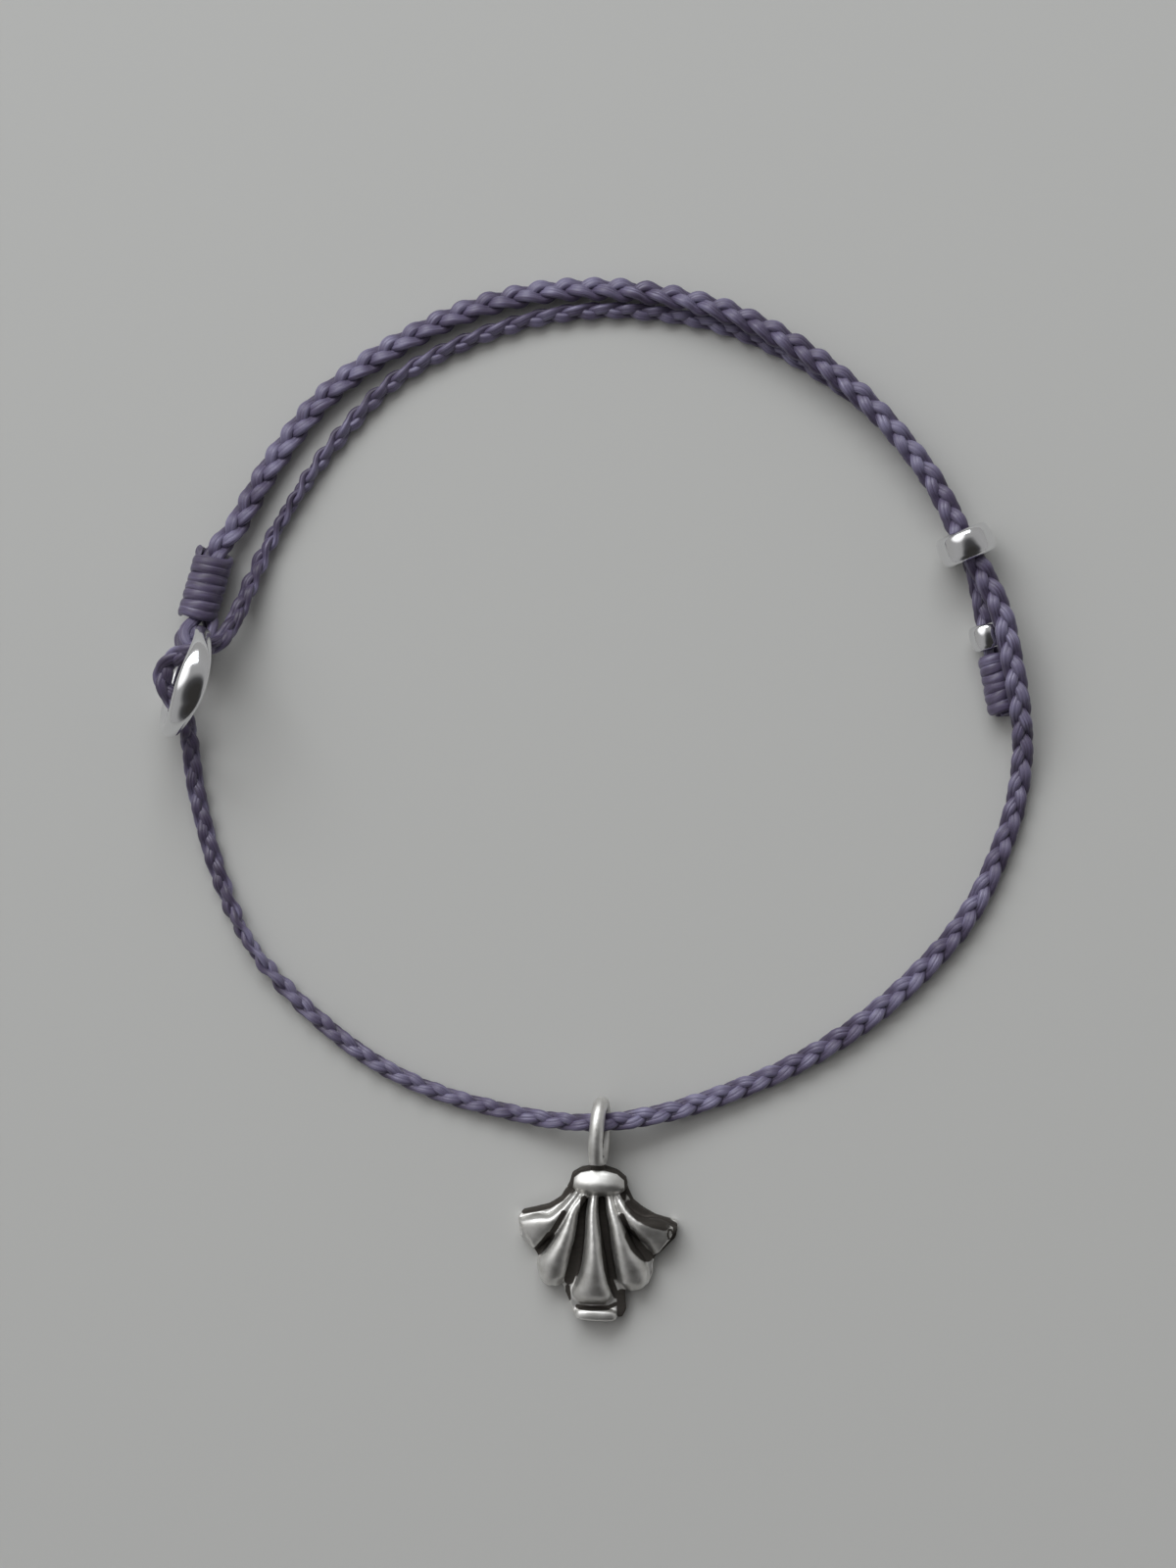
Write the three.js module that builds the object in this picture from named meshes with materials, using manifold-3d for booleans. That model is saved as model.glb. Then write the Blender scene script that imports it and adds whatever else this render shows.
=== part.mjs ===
// Adjustable braided cord bracelet with a silver ring, two beads and a fan shell charm, lying on a table.
// Millimetres, +Z up, table at z = 0, +Y towards the side away from the charm.
import * as THREE from "three";
import { mergeVertices } from "three/addons/utils/BufferGeometryUtils.js";
import Module from "manifold-3d";

const wasm = await Module();
wasm.setup();

// Loop and plait
const LOOP_CENTRE = { x: 0.55, y: 6.9 };
const PLAIT_PERIOD = 5.6;
const STEPS_PER_PERIOD = 6;
const STRAND_SHARE = 0.265; // strand diameter as a share of the braid's width
const LIFT_SHARE = 0.26; // half the strands' rise and fall as a share of the width
const STRAND_SIDES = 5;
const RING_PASSAGE = { from: -174, to: -198 }; // set out twice as closely

// Ring standing on edge at the left
const RING_BEARING = 177.55;
const RING_REACH = 29.0;
const RING_OUTER_DIAMETER = 8.1;
const RING_RADIAL = 1.05;
const RING_WIDTH = 1.15;
const RING_TOP_WIDTH = 2.08;
const RING_HEADING = 71.8; // plan direction of the ring's plane
const RING_LEAN = 14.5; // the top leans into the loop

// Eye of the braid round the ring
const EYE_ANGLE = -31.5;
const EYE_HALF_WIDTH = 0.95;
const EYE_CORD_PITCH = 0.56;
const EYE_LENGTH = 1.65;

// Cord whippings
const RING_WHIPPING = { from: 168.9, to: 159.0, outer: 2.8, turns: 7, cordThickness: 0.4, cordWidth: 0.6 };
const END_WHIPPING = { from: -353.6, to: -362.2, outer: 2.1, turns: 6, cordThickness: 0.36, cordWidth: 0.6 };

// Beads
const SLIDE_BEAD = { bearing: 23.1, reach: 27.55, heading: -67.5, outer: 4.0, bore: 2.5, length: 2.15 };
const END_BEAD = { bearing: -350.6, reach: 27.25, heading: -74, outer: 2.4, bore: 1.38, length: 1.8 };

// Charm, in its own frame: x across, y towards the bail, origin in the middle of the collar
const CHARM_COLLAR = { x: 0.3, y: -26.73, turn: -3.5 };
const COLLAR = { y: -0.08, halfLength: 2.0, halfHeight: 0.88, halfDepth: 1.25, rise: 1.5 };
const BAIL = { x: -0.17, y: 3.3, rise: 1.8, halfLength: 2.12, halfHeight: 1.26, wire: 1.04, lean: 0.26 };
const FOOT = { x: 0.35, y: -9.4, halfLength: 1.45, halfHeight: 0.45, depth: 1.7 };
const PLATE_DEPTH = 0.9;

// Stations of the braid's centre line, from the ring's whipping round the loop, through the ring and along the tail.
const STATIONS = [
  { bearing: 168.3, reach: 29.0, rise: 1.42, width: 1.55 },
  { bearing: 159.0, reach: 29.0, rise: 1.42, width: 1.6 },
  { bearing: 155.5, reach: 28.5, rise: 1.15, width: 1.65 },
  { bearing: 144, reach: 28.52, rise: 0.72, width: 1.72 },
  { bearing: 132, reach: 28.85, rise: 0.69, width: 1.72 },
  { bearing: 120, reach: 28.8, rise: 0.69, width: 1.72 },
  { bearing: 108, reach: 28.92, rise: 0.69, width: 1.72 },
  { bearing: 96, reach: 28.93, rise: 0.76, width: 1.72 },
  { bearing: 84, reach: 28.72, rise: 1.05, width: 1.72 },
  { bearing: 72, reach: 28.52, rise: 1.45, width: 1.72 },
  { bearing: 60, reach: 28.15, rise: 1.7, width: 1.7 },
  { bearing: 48, reach: 27.85, rise: 1.76, width: 1.65 },
  { bearing: 36, reach: 27.7, rise: 1.84, width: 1.6 },
  { bearing: 29.9, reach: 27.6, rise: 2.05, width: 1.65 },
  { bearing: 23.1, reach: 27.5, rise: 2.5, width: 1.65 },
  { bearing: 17.9, reach: 27.95, rise: 2.55, width: 1.68 },
  { bearing: 11.9, reach: 28.42, rise: 2.65, width: 1.68 },
  { bearing: 5.9, reach: 28.6, rise: 2.7, width: 1.65 },
  { bearing: -0.1, reach: 29.0, rise: 2.5, width: 1.6 },
  { bearing: -6, reach: 29.55, rise: 1.4, width: 1.55 },
  { bearing: -12, reach: 29.82, rise: 0.74, width: 1.55 },
  { bearing: -18, reach: 29.87, rise: 0.65, width: 1.55 },
  { bearing: -30, reach: 29.78, rise: 0.66, width: 1.6 },
  { bearing: -42, reach: 29.28, rise: 0.66, width: 1.6 },
  { bearing: -54, reach: 29.0, rise: 0.65, width: 1.55 },
  { bearing: -66, reach: 28.87, rise: 0.63, width: 1.5 },
  { bearing: -78, reach: 29.08, rise: 0.95, width: 1.45 },
  { bearing: -84, reach: 29.3, rise: 1.45, width: 1.4 },
  { bearing: -90, reach: 29.5, rise: 1.85, width: 1.3 },
  { bearing: -96, reach: 29.6, rise: 1.4, width: 1.25 },
  { bearing: -102, reach: 29.6, rise: 0.8, width: 1.2 },
  { bearing: -114, reach: 29.87, rise: 0.51, width: 1.2 },
  { bearing: -126, reach: 30.0, rise: 0.49, width: 1.2 },
  { bearing: -144, reach: 30.1, rise: 0.49, width: 1.2 },
  { bearing: -156, reach: 29.58, rise: 0.52, width: 1.25 },
  { bearing: -168, reach: 29.2, rise: 0.55, width: 1.3 },
  { bearing: -174, reach: 29.1, rise: 1.0, width: 1.3 },
  { bearing: -177, reach: 29.15, rise: 2.0, width: 1.35 },
  { bearing: -180.1, reach: 29.95, rise: 2.8, width: 1.35 },
  { bearing: -182.2, reach: 30.6, rise: 3.2, width: 1.4 },
  { bearing: -184.9, reach: 30.25, rise: 3.5, width: 1.4 },
  { bearing: -186.7, reach: 28.7, rise: 4.2, width: 1.3 },
  { bearing: -188.1, reach: 27.15, rise: 3.4, width: 1.25 },
  { bearing: -191.9, reach: 26.35, rise: 2.2, width: 1.2 },
  { bearing: -198, reach: 25.98, rise: 1.15, width: 1.2 },
  { bearing: -204, reach: 25.9, rise: 0.63, width: 1.2 },
  { bearing: -216, reach: 25.87, rise: 0.49, width: 1.2 },
  { bearing: -228, reach: 26.3, rise: 0.49, width: 1.2 },
  { bearing: -240, reach: 26.87, rise: 0.49, width: 1.2 },
  { bearing: -264, reach: 27.3, rise: 0.49, width: 1.2 },
  { bearing: -288, reach: 27.6, rise: 0.49, width: 1.2 },
  { bearing: -312, reach: 27.8, rise: 0.49, width: 1.2 },
  { bearing: -324, reach: 27.8, rise: 0.55, width: 1.2 },
  { bearing: -330, reach: 27.7, rise: 0.9, width: 1.2 },
  { bearing: -336.9, reach: 27.6, rise: 1.36, width: 1.2 },
  { bearing: -342, reach: 27.42, rise: 1.3, width: 1.2 },
  { bearing: -347, reach: 27.25, rise: 1.22, width: 1.2 },
  { bearing: -350.6, reach: 27.25, rise: 1.2, width: 1.2 },
  { bearing: -354, reach: 27.5, rise: 1.1, width: 1.2 },
  { bearing: -360, reach: 27.92, rise: 1.07, width: 1.2 },
  { bearing: -362.2, reach: 28.08, rise: 1.07, width: 1.2 },
];

// Ribs of the shell: centre line, half width and height of each section.
const RIBS = {
  centre: [
    { x: -0.25, y: -0.6, half: 0.3, top: 1.8 },
    { x: -0.36, y: -2.0, half: 0.42, top: 2.4 },
    { x: -0.18, y: -4.0, half: 0.62, top: 2.75 },
    { x: 0, y: -6.0, half: 0.92, top: 2.8 },
    { x: 0, y: -7.0, half: 1.12, top: 2.6 },
    { x: 0, y: -8.0, half: 1.42, top: 2.2 },
    { x: 0, y: -8.6, half: 1.0, top: 1.5 },
  ],
  rightMiddle: [
    { x: 0.65, y: -0.6, half: 0.26, top: 1.7 },
    { x: 1.0, y: -2.0, half: 0.4, top: 2.25 },
    { x: 1.4, y: -3.0, half: 0.55, top: 2.5 },
    { x: 1.72, y: -4.0, half: 0.7, top: 2.6 },
    { x: 2.1, y: -5.0, half: 0.88, top: 2.6 },
    { x: 2.6, y: -6.0, half: 1.12, top: 2.4 },
    { x: 2.85, y: -6.9, half: 1.02, top: 2.0 },
    { x: 2.9, y: -7.5, half: 0.55, top: 1.4 },
  ],
  leftMiddle: [
    { x: -0.8, y: -0.7, half: 0.26, top: 1.7 },
    { x: -1.2, y: -1.4, half: 0.34, top: 2.0 },
    { x: -1.66, y: -2.1, half: 0.42, top: 2.3 },
    { x: -1.92, y: -3.1, half: 0.58, top: 2.5 },
    { x: -2.15, y: -4.0, half: 0.72, top: 2.6 },
    { x: -2.5, y: -5.0, half: 0.86, top: 2.6 },
    { x: -2.82, y: -6.0, half: 1.05, top: 2.4 },
    { x: -2.85, y: -6.9, half: 0.9, top: 2.0 },
    { x: -2.75, y: -7.5, half: 0.5, top: 1.4 },
  ],
  rightOuter: [
    { x: 1.2, y: -0.9, half: 0.28, top: 1.6 },
    { x: 1.55, y: -1.6, half: 0.36, top: 2.0 },
    { x: 2.25, y: -2.5, half: 0.5, top: 2.3 },
    { x: 3.1, y: -3.1, half: 0.75, top: 2.4 },
    { x: 4.05, y: -3.4, half: 1.05, top: 2.2 },
    { x: 4.98, y: -4.0, half: 1.33, top: 1.8 },
  ],
  leftOuter: [
    { x: -1.35, y: -0.9, half: 0.28, top: 1.6 },
    { x: -1.75, y: -1.5, half: 0.36, top: 2.0 },
    { x: -2.3, y: -2.3, half: 0.5, top: 2.3 },
    { x: -3.1, y: -3.2, half: 0.75, top: 2.4 },
    { x: -4.0, y: -3.6, half: 1.05, top: 2.2 },
    { x: -4.8, y: -4.1, half: 1.29, top: 1.8 },
  ],
};

// How far the outer ribs' crests lie off their middle, as a share of the half width.
const RIB_SKEW = { rightOuter: 0.35, leftOuter: -0.35 };

// Outline of the plate that carries the ribs, clockwise from the collar's left end.
const PLATE_OUTLINE = [
  [-2.05, -0.3], [-1.9, 0.4], [-1.3, 0.8], [-0.5, 1.0], [0.4, 1.0], [1.3, 0.75], [1.9, 0.3], [2.05, -0.4],
  [2.5, -1.25], [3.2, -1.75], [4.1, -2.2], [4.95, -2.4], [5.6, -2.5], [5.75, -2.85], [5.6, -3.7], [4.65, -4.75],
  [4.2, -5.15], [4.1, -5.6], [4.15, -6.2], [3.9, -7.0], [3.3, -7.5], [2.7, -7.65], [2.25, -7.45], [2.35, -8.2],
  [2.45, -8.9], [2.2, -9.5], [-1.1, -9.6], [-1.35, -9.2], [-1.6, -8.5], [-1.9, -7.9], [-2.1, -7.35], [-2.6, -7.65],
  [-3.2, -7.45], [-3.7, -6.9], [-4.0, -6.2], [-3.95, -5.5], [-4.2, -5.15], [-5.25, -4.3], [-5.5, -2.9],
  [-5.15, -2.4], [-4.4, -2.2], [-3.4, -1.9], [-2.6, -1.35],
];

const silver = new THREE.MeshStandardMaterial({ color: 0xc9c9cc, metalness: 1, roughness: 0.3 });
const cord = new THREE.MeshStandardMaterial({ color: 0x6c5f84, metalness: 0, roughness: 0.6 });

const radians = THREE.MathUtils.degToRad;
const Z_AXIS = new THREE.Vector3(0, 0, 1);

function onLoop(bearing, reach, rise) {
  const angle = radians(bearing);
  return new THREE.Vector3(
    LOOP_CENTRE.x + reach * Math.cos(angle),
    LOOP_CENTRE.y + reach * Math.sin(angle),
    rise,
  );
}

// Joins rings of points, all of one length, into a closed skin; capped at both ends unless it runs round.
function loft(rings, runsRound = false) {
  const sides = rings[0].length;
  const points = rings.flat();
  const faces = [];
  const spans = runsRound ? rings.length : rings.length - 1;
  for (let row = 0; row < spans; row += 1) {
    const next = (row + 1) % rings.length;
    for (let side = 0; side < sides; side += 1) {
      const over = (side + 1) % sides;
      faces.push(row * sides + side, row * sides + over, next * sides + over);
      faces.push(row * sides + side, next * sides + over, next * sides + side);
    }
  }
  if (!runsRound) {
    const last = (rings.length - 1) * sides;
    for (let side = 1; side < sides - 1; side += 1) {
      faces.push(0, side + 1, side);
      faces.push(last, last + side, last + side + 1);
    }
  }
  const geometry = new THREE.BufferGeometry();
  geometry.setAttribute("position", new THREE.Float32BufferAttribute(points.flatMap((p) => [p.x, p.y, p.z]), 3));
  geometry.setIndex(faces);
  return geometry;
}

// An oval ring of points about a centre, in the plane of two directions.
function oval(centre, first, second, halfFirst, halfSecond, sides, start = 0) {
  const ring = [];
  for (let side = 0; side < sides; side += 1) {
    const angle = start + (2 * Math.PI * side) / sides;
    ring.push(centre.clone()
      .addScaledVector(first, halfFirst * Math.cos(angle))
      .addScaledVector(second, halfSecond * Math.sin(angle)));
  }
  return ring;
}

function solidOf(geometry) {
  const bare = new THREE.BufferGeometry();
  bare.setAttribute("position", geometry.getAttribute("position"));
  bare.setIndex(geometry.getIndex());
  const merged = mergeVertices(bare, 1e-4);
  return new wasm.Manifold(new wasm.Mesh({
    numProp: 3,
    vertProperties: new Float32Array(merged.getAttribute("position").array),
    triVerts: new Uint32Array(merged.getIndex().array),
  }));
}

function geometryOf(solid) {
  const mesh = solid.getMesh();
  const geometry = new THREE.BufferGeometry();
  geometry.setAttribute("position", new THREE.Float32BufferAttribute(mesh.vertProperties, 3));
  geometry.setIndex(Array.from(mesh.triVerts));
  return geometry;
}

function piece(name, geometry, material) {
  const mesh = new THREE.Mesh(geometry, material);
  mesh.name = name;
  return mesh;
}

// Ring frame: across lies in the plan, up leans into the loop, axis points into the loop
const ringMeanRadius = (RING_OUTER_DIAMETER - RING_RADIAL) / 2;
const heading = radians(RING_HEADING);
const lean = radians(RING_LEAN);
const ringAcross = new THREE.Vector3(Math.cos(heading), Math.sin(heading), 0);
const ringUp = new THREE.Vector3(
  Math.sin(lean) * Math.sin(heading),
  -Math.sin(lean) * Math.cos(heading),
  Math.cos(lean),
);
const ringAxis = ringAcross.clone().cross(ringUp);
const ringHeight = ringMeanRadius * Math.cos(lean)
  + Math.hypot(RING_RADIAL / 2 * Math.cos(lean), RING_WIDTH / 2 * Math.sin(lean));
const ringCentre = onLoop(RING_BEARING, RING_REACH, ringHeight);

function ringSpoke(angle) {
  return ringAcross.clone().multiplyScalar(Math.cos(angle)).addScaledVector(ringUp, Math.sin(angle));
}

function buildRing() {
  const rings = [];
  const steps = 28;
  for (let step = 0; step < steps; step += 1) {
    const angle = (2 * Math.PI * step) / steps;
    const spoke = ringSpoke(angle);
    const swell = Math.max(0, Math.sin(angle)) ** 3;
    const halfWidth = (RING_WIDTH + (RING_TOP_WIDTH - RING_WIDTH) * swell) / 2;
    const centre = ringCentre.clone().addScaledVector(spoke, ringMeanRadius);
    rings.push(oval(centre, spoke, ringAxis, RING_RADIAL / 2, halfWidth, 10).reverse());
  }
  return loft(rings, true);
}

// Centre line of the braid: the eye round the ring, then the stations
const eyeAngle = radians(EYE_ANGLE);
const eyeSpoke = ringSpoke(eyeAngle);
const eyeWire = ringSpoke(eyeAngle + Math.PI / 2);
const eyeFoot = ringMeanRadius + EYE_LENGTH;

function eyePoint(out, side) {
  return ringCentre.clone().addScaledVector(eyeSpoke, out).addScaledVector(ringAxis, side);
}

function eyeRoute() {
  const route = [eyePoint(eyeFoot - 0.3, EYE_HALF_WIDTH), eyePoint(eyeFoot - 1.1, EYE_HALF_WIDTH)];
  for (let step = 0; step <= 4; step += 1) {
    const angle = (Math.PI * step) / 4;
    const out = ringMeanRadius - EYE_HALF_WIDTH * Math.sin(angle);
    route.push(eyePoint(out, EYE_HALF_WIDTH * Math.cos(angle)));
  }
  route.push(eyePoint(eyeFoot - 1.2, -0.9 * EYE_HALF_WIDTH));
  route.push(eyePoint(eyeFoot - 0.55, -0.5 * EYE_HALF_WIDTH));
  return route;
}

const eyePoints = eyeRoute();
const stationPoints = STATIONS.map((row) => onLoop(row.bearing, row.reach, row.rise));
const braidLine = new THREE.CatmullRomCurve3([...eyePoints, ...stationPoints], false, "centripetal");
braidLine.arcLengthDivisions = 6000;
const braidLength = braidLine.getLength();

// Distance along the line at each station
const lineLengths = braidLine.getLengths(6000);
const spans = eyePoints.length + stationPoints.length - 1;
const stationAt = STATIONS.map((row, index) => lineLengths[Math.round((6000 * (index + eyePoints.length)) / spans)]);
const plaitStart = stationAt[0] + 1.2;

function widthAt(distance) {
  for (let index = 1; index < STATIONS.length; index += 1) {
    if (distance < stationAt[index]) {
      const share = (distance - stationAt[index - 1]) / (stationAt[index] - stationAt[index - 1]);
      return THREE.MathUtils.lerp(STATIONS[index - 1].width, STATIONS[index].width, Math.max(0, share));
    }
  }
  return STATIONS[STATIONS.length - 1].width;
}

// Distances at which the strands are set out: close together in the eye, then a few to each period
function setOut() {
  const distances = [];
  const eyeSteps = Math.round(plaitStart / 0.42);
  for (let step = 0; step < eyeSteps; step += 1) {
    distances.push((plaitStart * step) / eyeSteps);
  }
  const halfStep = PLAIT_PERIOD / STEPS_PER_PERIOD / 2;
  const closeFrom = stationAt[STATIONS.findIndex((row) => row.bearing === RING_PASSAGE.from)];
  const closeTo = stationAt[STATIONS.findIndex((row) => row.bearing === RING_PASSAGE.to)];
  for (let step = 0; plaitStart + step * halfStep <= braidLength; step += 1) {
    const distance = plaitStart + step * halfStep;
    if (step % 2 === 0 || (distance > closeFrom && distance < closeTo)) {
      distances.push(distance);
    }
  }
  return distances;
}

const distances = setOut();

function strandPoint(distance, strand) {
  const share = distance / braidLength;
  const centre = braidLine.getPointAt(share);
  const tangent = braidLine.getTangentAt(share);
  const plaited = THREE.MathUtils.smoothstep(distance, stationAt[0] - 1.0, plaitStart);
  const upright = eyeWire.clone().lerp(Z_AXIS, plaited);
  const side = upright.clone().cross(tangent).normalize();
  const over = tangent.clone().cross(side);
  const width = widthAt(distance);
  const turn = Math.max(0, distance - plaitStart) / PLAIT_PERIOD;
  const phase = Math.PI / 6 + 2 * Math.PI * (turn + strand / 3);
  const swing = (width * (1 - STRAND_SHARE)) / 2 * Math.sin(phase);
  const lift = width * LIFT_SHARE * Math.sin(2 * phase);
  const stacked = EYE_CORD_PITCH * [1, -1, 0][strand];
  centre.addScaledVector(side, plaited * swing);
  centre.addScaledVector(over, THREE.MathUtils.lerp(stacked, lift, plaited));
  return { centre, upright };
}

function buildStrand(strand) {
  const places = distances.map((distance) => strandPoint(distance, strand));
  const rings = places.map((place, index) => {
    const before = places[Math.max(0, index - 1)].centre;
    const after = places[Math.min(places.length - 1, index + 1)].centre;
    const tangent = after.clone().sub(before).normalize();
    const side = place.upright.clone().cross(tangent).normalize();
    const over = tangent.clone().cross(side);
    const radius = (widthAt(distances[index]) * STRAND_SHARE) / 2;
    return oval(place.centre, side, over, radius, radius, STRAND_SIDES, Math.PI / 6);
  });
  return loft(rings);
}

// A cord wound about a straight axis between two bearings of the braid
function buildWhipping(whipping) {
  const onBraid = (bearing) => {
    const after = STATIONS.findIndex((row) => row.bearing <= bearing + 1e-6);
    const low = STATIONS[Math.max(0, after - 1)];
    const high = STATIONS[after];
    const gap = high.bearing - low.bearing;
    const share = gap === 0 ? 0 : (bearing - low.bearing) / gap;
    return onLoop(
      bearing,
      THREE.MathUtils.lerp(low.reach, high.reach, share),
      THREE.MathUtils.lerp(low.rise, high.rise, share),
    );
  };
  const start = onBraid(whipping.from);
  const end = onBraid(whipping.to);
  const axis = end.clone().sub(start);
  const length = axis.length() - whipping.cordWidth;
  axis.normalize();
  const side = Z_AXIS.clone().cross(axis).normalize();
  const over = axis.clone().cross(side);
  const radius = (whipping.outer - whipping.cordThickness) / 2;
  const stepsPerTurn = 12;
  const steps = whipping.turns * stepsPerTurn;
  const rings = [];
  for (let step = 0; step <= steps; step += 1) {
    const angle = (2 * Math.PI * step) / stepsPerTurn;
    const spoke = side.clone().multiplyScalar(Math.cos(angle)).addScaledVector(over, Math.sin(angle));
    const along = whipping.cordWidth / 2 + (length * step) / steps;
    const centre = start.clone().addScaledVector(axis, along).addScaledVector(spoke, radius);
    rings.push(oval(centre, spoke, axis, whipping.cordThickness / 2, whipping.cordWidth / 2, 6).reverse());
  }
  return loft(rings);
}

// A bead turned from a half section, its bore level and facing along a plan direction
function buildBead(halfSection, centre, facing, segments) {
  const outline = halfSection.map(([radius, along]) => new THREE.Vector2(radius, along));
  outline.push(outline[0].clone());
  const geometry = new THREE.LatheGeometry(outline, segments);
  geometry.rotateZ(radians(facing - 90));
  geometry.translate(centre.x, centre.y, centre.z);
  return geometry;
}

function buildSlideBead() {
  const { bearing, reach, heading: facing, outer, bore, length } = SLIDE_BEAD;
  const half = length / 2;
  const rim = outer / 2;
  const inside = bore / 2;
  const section = [
    [inside, 0.12 - half],
    [inside + 0.14, -half],
    [rim - 0.34, 0.04 - half],
    [rim - 0.09, 0.36 - half],
    [rim, 0],
    [rim - 0.09, half - 0.36],
    [rim - 0.34, half - 0.04],
    [inside + 0.14, half],
    [inside, half - 0.12],
  ];
  return buildBead(section, onLoop(bearing, reach, rim), facing, 20);
}

function buildEndBead() {
  const { bearing, reach, heading: facing, outer, bore, length } = END_BEAD;
  const rim = outer / 2;
  const inside = bore / 2;
  const half = length / 2;
  const section = [
    [inside, 0.1 - half],
    [inside + 0.1, -half],
    [rim - 0.13, -half * 0.6],
    [rim, 0],
    [rim - 0.13, half * 0.6],
    [inside + 0.1, half],
    [inside, half - 0.1],
  ];
  return buildBead(section, onLoop(bearing, reach, rim), facing, 16);
}

// A rib of the shell: rounded top over a flat underside that sits in the plate
function buildRib(rows, skew) {
  const rings = rows.map((row, index) => {
    const before = rows[Math.max(0, index - 1)];
    const after = rows[Math.min(rows.length - 1, index + 1)];
    const across = new THREE.Vector2(-(after.y - before.y), after.x - before.x).normalize();
    const shoulder = 0.55 * row.top + 0.2;
    const profile = [
      [-1, 0.3], [-0.95, shoulder], [-0.5, row.top * 0.94], [0, row.top],
      [0.5, row.top * 0.94], [0.95, shoulder], [1, 0.3],
    ];
    return profile.map(([share, height]) => {
      const away = row.half * (share + skew * (1 - share * share));
      return new THREE.Vector3(row.x + across.x * away, row.y + across.y * away, height);
    }).reverse();
  });
  return loft(rings);
}

function buildCharm() {
  const plateShape = new THREE.Shape(PLATE_OUTLINE.map(([x, y]) => new THREE.Vector2(x, y)));
  const plate = new THREE.ExtrudeGeometry(plateShape, { depth: PLATE_DEPTH, bevelEnabled: false });
  const collar = new THREE.SphereGeometry(1, 16, 8);
  collar.rotateZ(Math.PI / 2);
  collar.scale(COLLAR.halfLength, COLLAR.halfHeight, COLLAR.halfDepth);
  collar.translate(0, COLLAR.y, COLLAR.rise);
  const footShape = new THREE.Shape();
  footShape.moveTo(0.2 - FOOT.halfLength, -FOOT.halfHeight);
  footShape.lineTo(FOOT.halfLength - 0.2, -FOOT.halfHeight);
  footShape.lineTo(FOOT.halfLength, 0);
  footShape.lineTo(FOOT.halfLength - 0.2, FOOT.halfHeight);
  footShape.lineTo(0.2 - FOOT.halfLength, FOOT.halfHeight);
  footShape.lineTo(-FOOT.halfLength, 0);
  const foot = new THREE.ExtrudeGeometry(footShape, {
    depth: FOOT.depth - 0.25, bevelEnabled: true, bevelThickness: 0.25, bevelSize: 0.2, bevelOffset: -0.2, bevelSegments: 1,
  });
  foot.translate(FOOT.x, FOOT.y, 0);
  const bailRings = [];
  const bailSteps = 20;
  for (let step = 0; step < bailSteps; step += 1) {
    const angle = (2 * Math.PI * step) / bailSteps;
    const spoke = new THREE.Vector3(0, Math.cos(angle), Math.sin(angle));
    const centre = new THREE.Vector3(
      BAIL.x - BAIL.lean * Math.sin(angle),
      BAIL.y + BAIL.halfLength * Math.cos(angle),
      BAIL.rise + BAIL.halfHeight * Math.sin(angle),
    );
    bailRings.push(oval(centre, spoke, new THREE.Vector3(1, 0, 0), BAIL.wire / 2, BAIL.wire / 2, 8).reverse());
  }
  let solid = solidOf(plate).add(solidOf(collar)).add(solidOf(foot)).add(solidOf(loft(bailRings, true)));
  for (const [name, rows] of Object.entries(RIBS)) {
    solid = solid.add(solidOf(buildRib(rows, RIB_SKEW[name] ?? 0)));
  }
  const flatBack = wasm.Manifold.cube([40, 60, 20], true).translate([0, 0, 10]);
  const geometry = geometryOf(solid.intersect(flatBack));
  geometry.rotateZ(radians(CHARM_COLLAR.turn));
  geometry.translate(CHARM_COLLAR.x, CHARM_COLLAR.y, 0);
  return geometry;
}

const group = new THREE.Group();
group.name = "braided_bracelet";
group.add(piece("braid_strand_a", buildStrand(0), cord));
group.add(piece("braid_strand_b", buildStrand(1), cord));
group.add(piece("braid_strand_c", buildStrand(2), cord));
group.add(piece("ring", buildRing(), silver));
group.add(piece("ring_whipping", buildWhipping(RING_WHIPPING), cord));
group.add(piece("slide_bead", buildSlideBead(), silver));
group.add(piece("end_bead", buildEndBead(), silver));
group.add(piece("end_whipping", buildWhipping(END_WHIPPING), cord));
group.add(piece("charm", buildCharm(), silver));

export default group;
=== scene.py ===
"""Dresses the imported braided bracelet: plaited cord, whippings, silver ring, beads and shell charm."""

import math
from collections import namedtuple

import bpy
import numpy as np
from mathutils import Matrix, Vector


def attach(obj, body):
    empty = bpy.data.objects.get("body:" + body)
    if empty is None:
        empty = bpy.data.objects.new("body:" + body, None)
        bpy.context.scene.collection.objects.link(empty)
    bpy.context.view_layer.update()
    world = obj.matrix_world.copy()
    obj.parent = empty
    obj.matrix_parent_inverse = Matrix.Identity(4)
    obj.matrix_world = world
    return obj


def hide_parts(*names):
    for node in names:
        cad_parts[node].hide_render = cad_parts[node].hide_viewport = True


bl_info = {
    "name": "Braided bracelet",
    "version": (1, 0, 0),
    "blender": (4, 5, 0),
    "location": "View3D > Sidebar > Bracelet",
    "description": "Builds a plaited cord bracelet with a ring, beads and a shell charm on its CAD frame",
    "category": "Object",
}

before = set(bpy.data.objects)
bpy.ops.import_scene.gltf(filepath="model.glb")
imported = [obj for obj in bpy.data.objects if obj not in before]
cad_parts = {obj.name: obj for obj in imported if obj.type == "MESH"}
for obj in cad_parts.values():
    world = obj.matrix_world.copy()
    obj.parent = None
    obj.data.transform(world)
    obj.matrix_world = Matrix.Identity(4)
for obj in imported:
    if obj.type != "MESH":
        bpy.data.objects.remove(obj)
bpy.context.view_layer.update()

MM = 0.001
LOOP_CENTRE = np.array((0.55, 6.9, 0.0))

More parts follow.
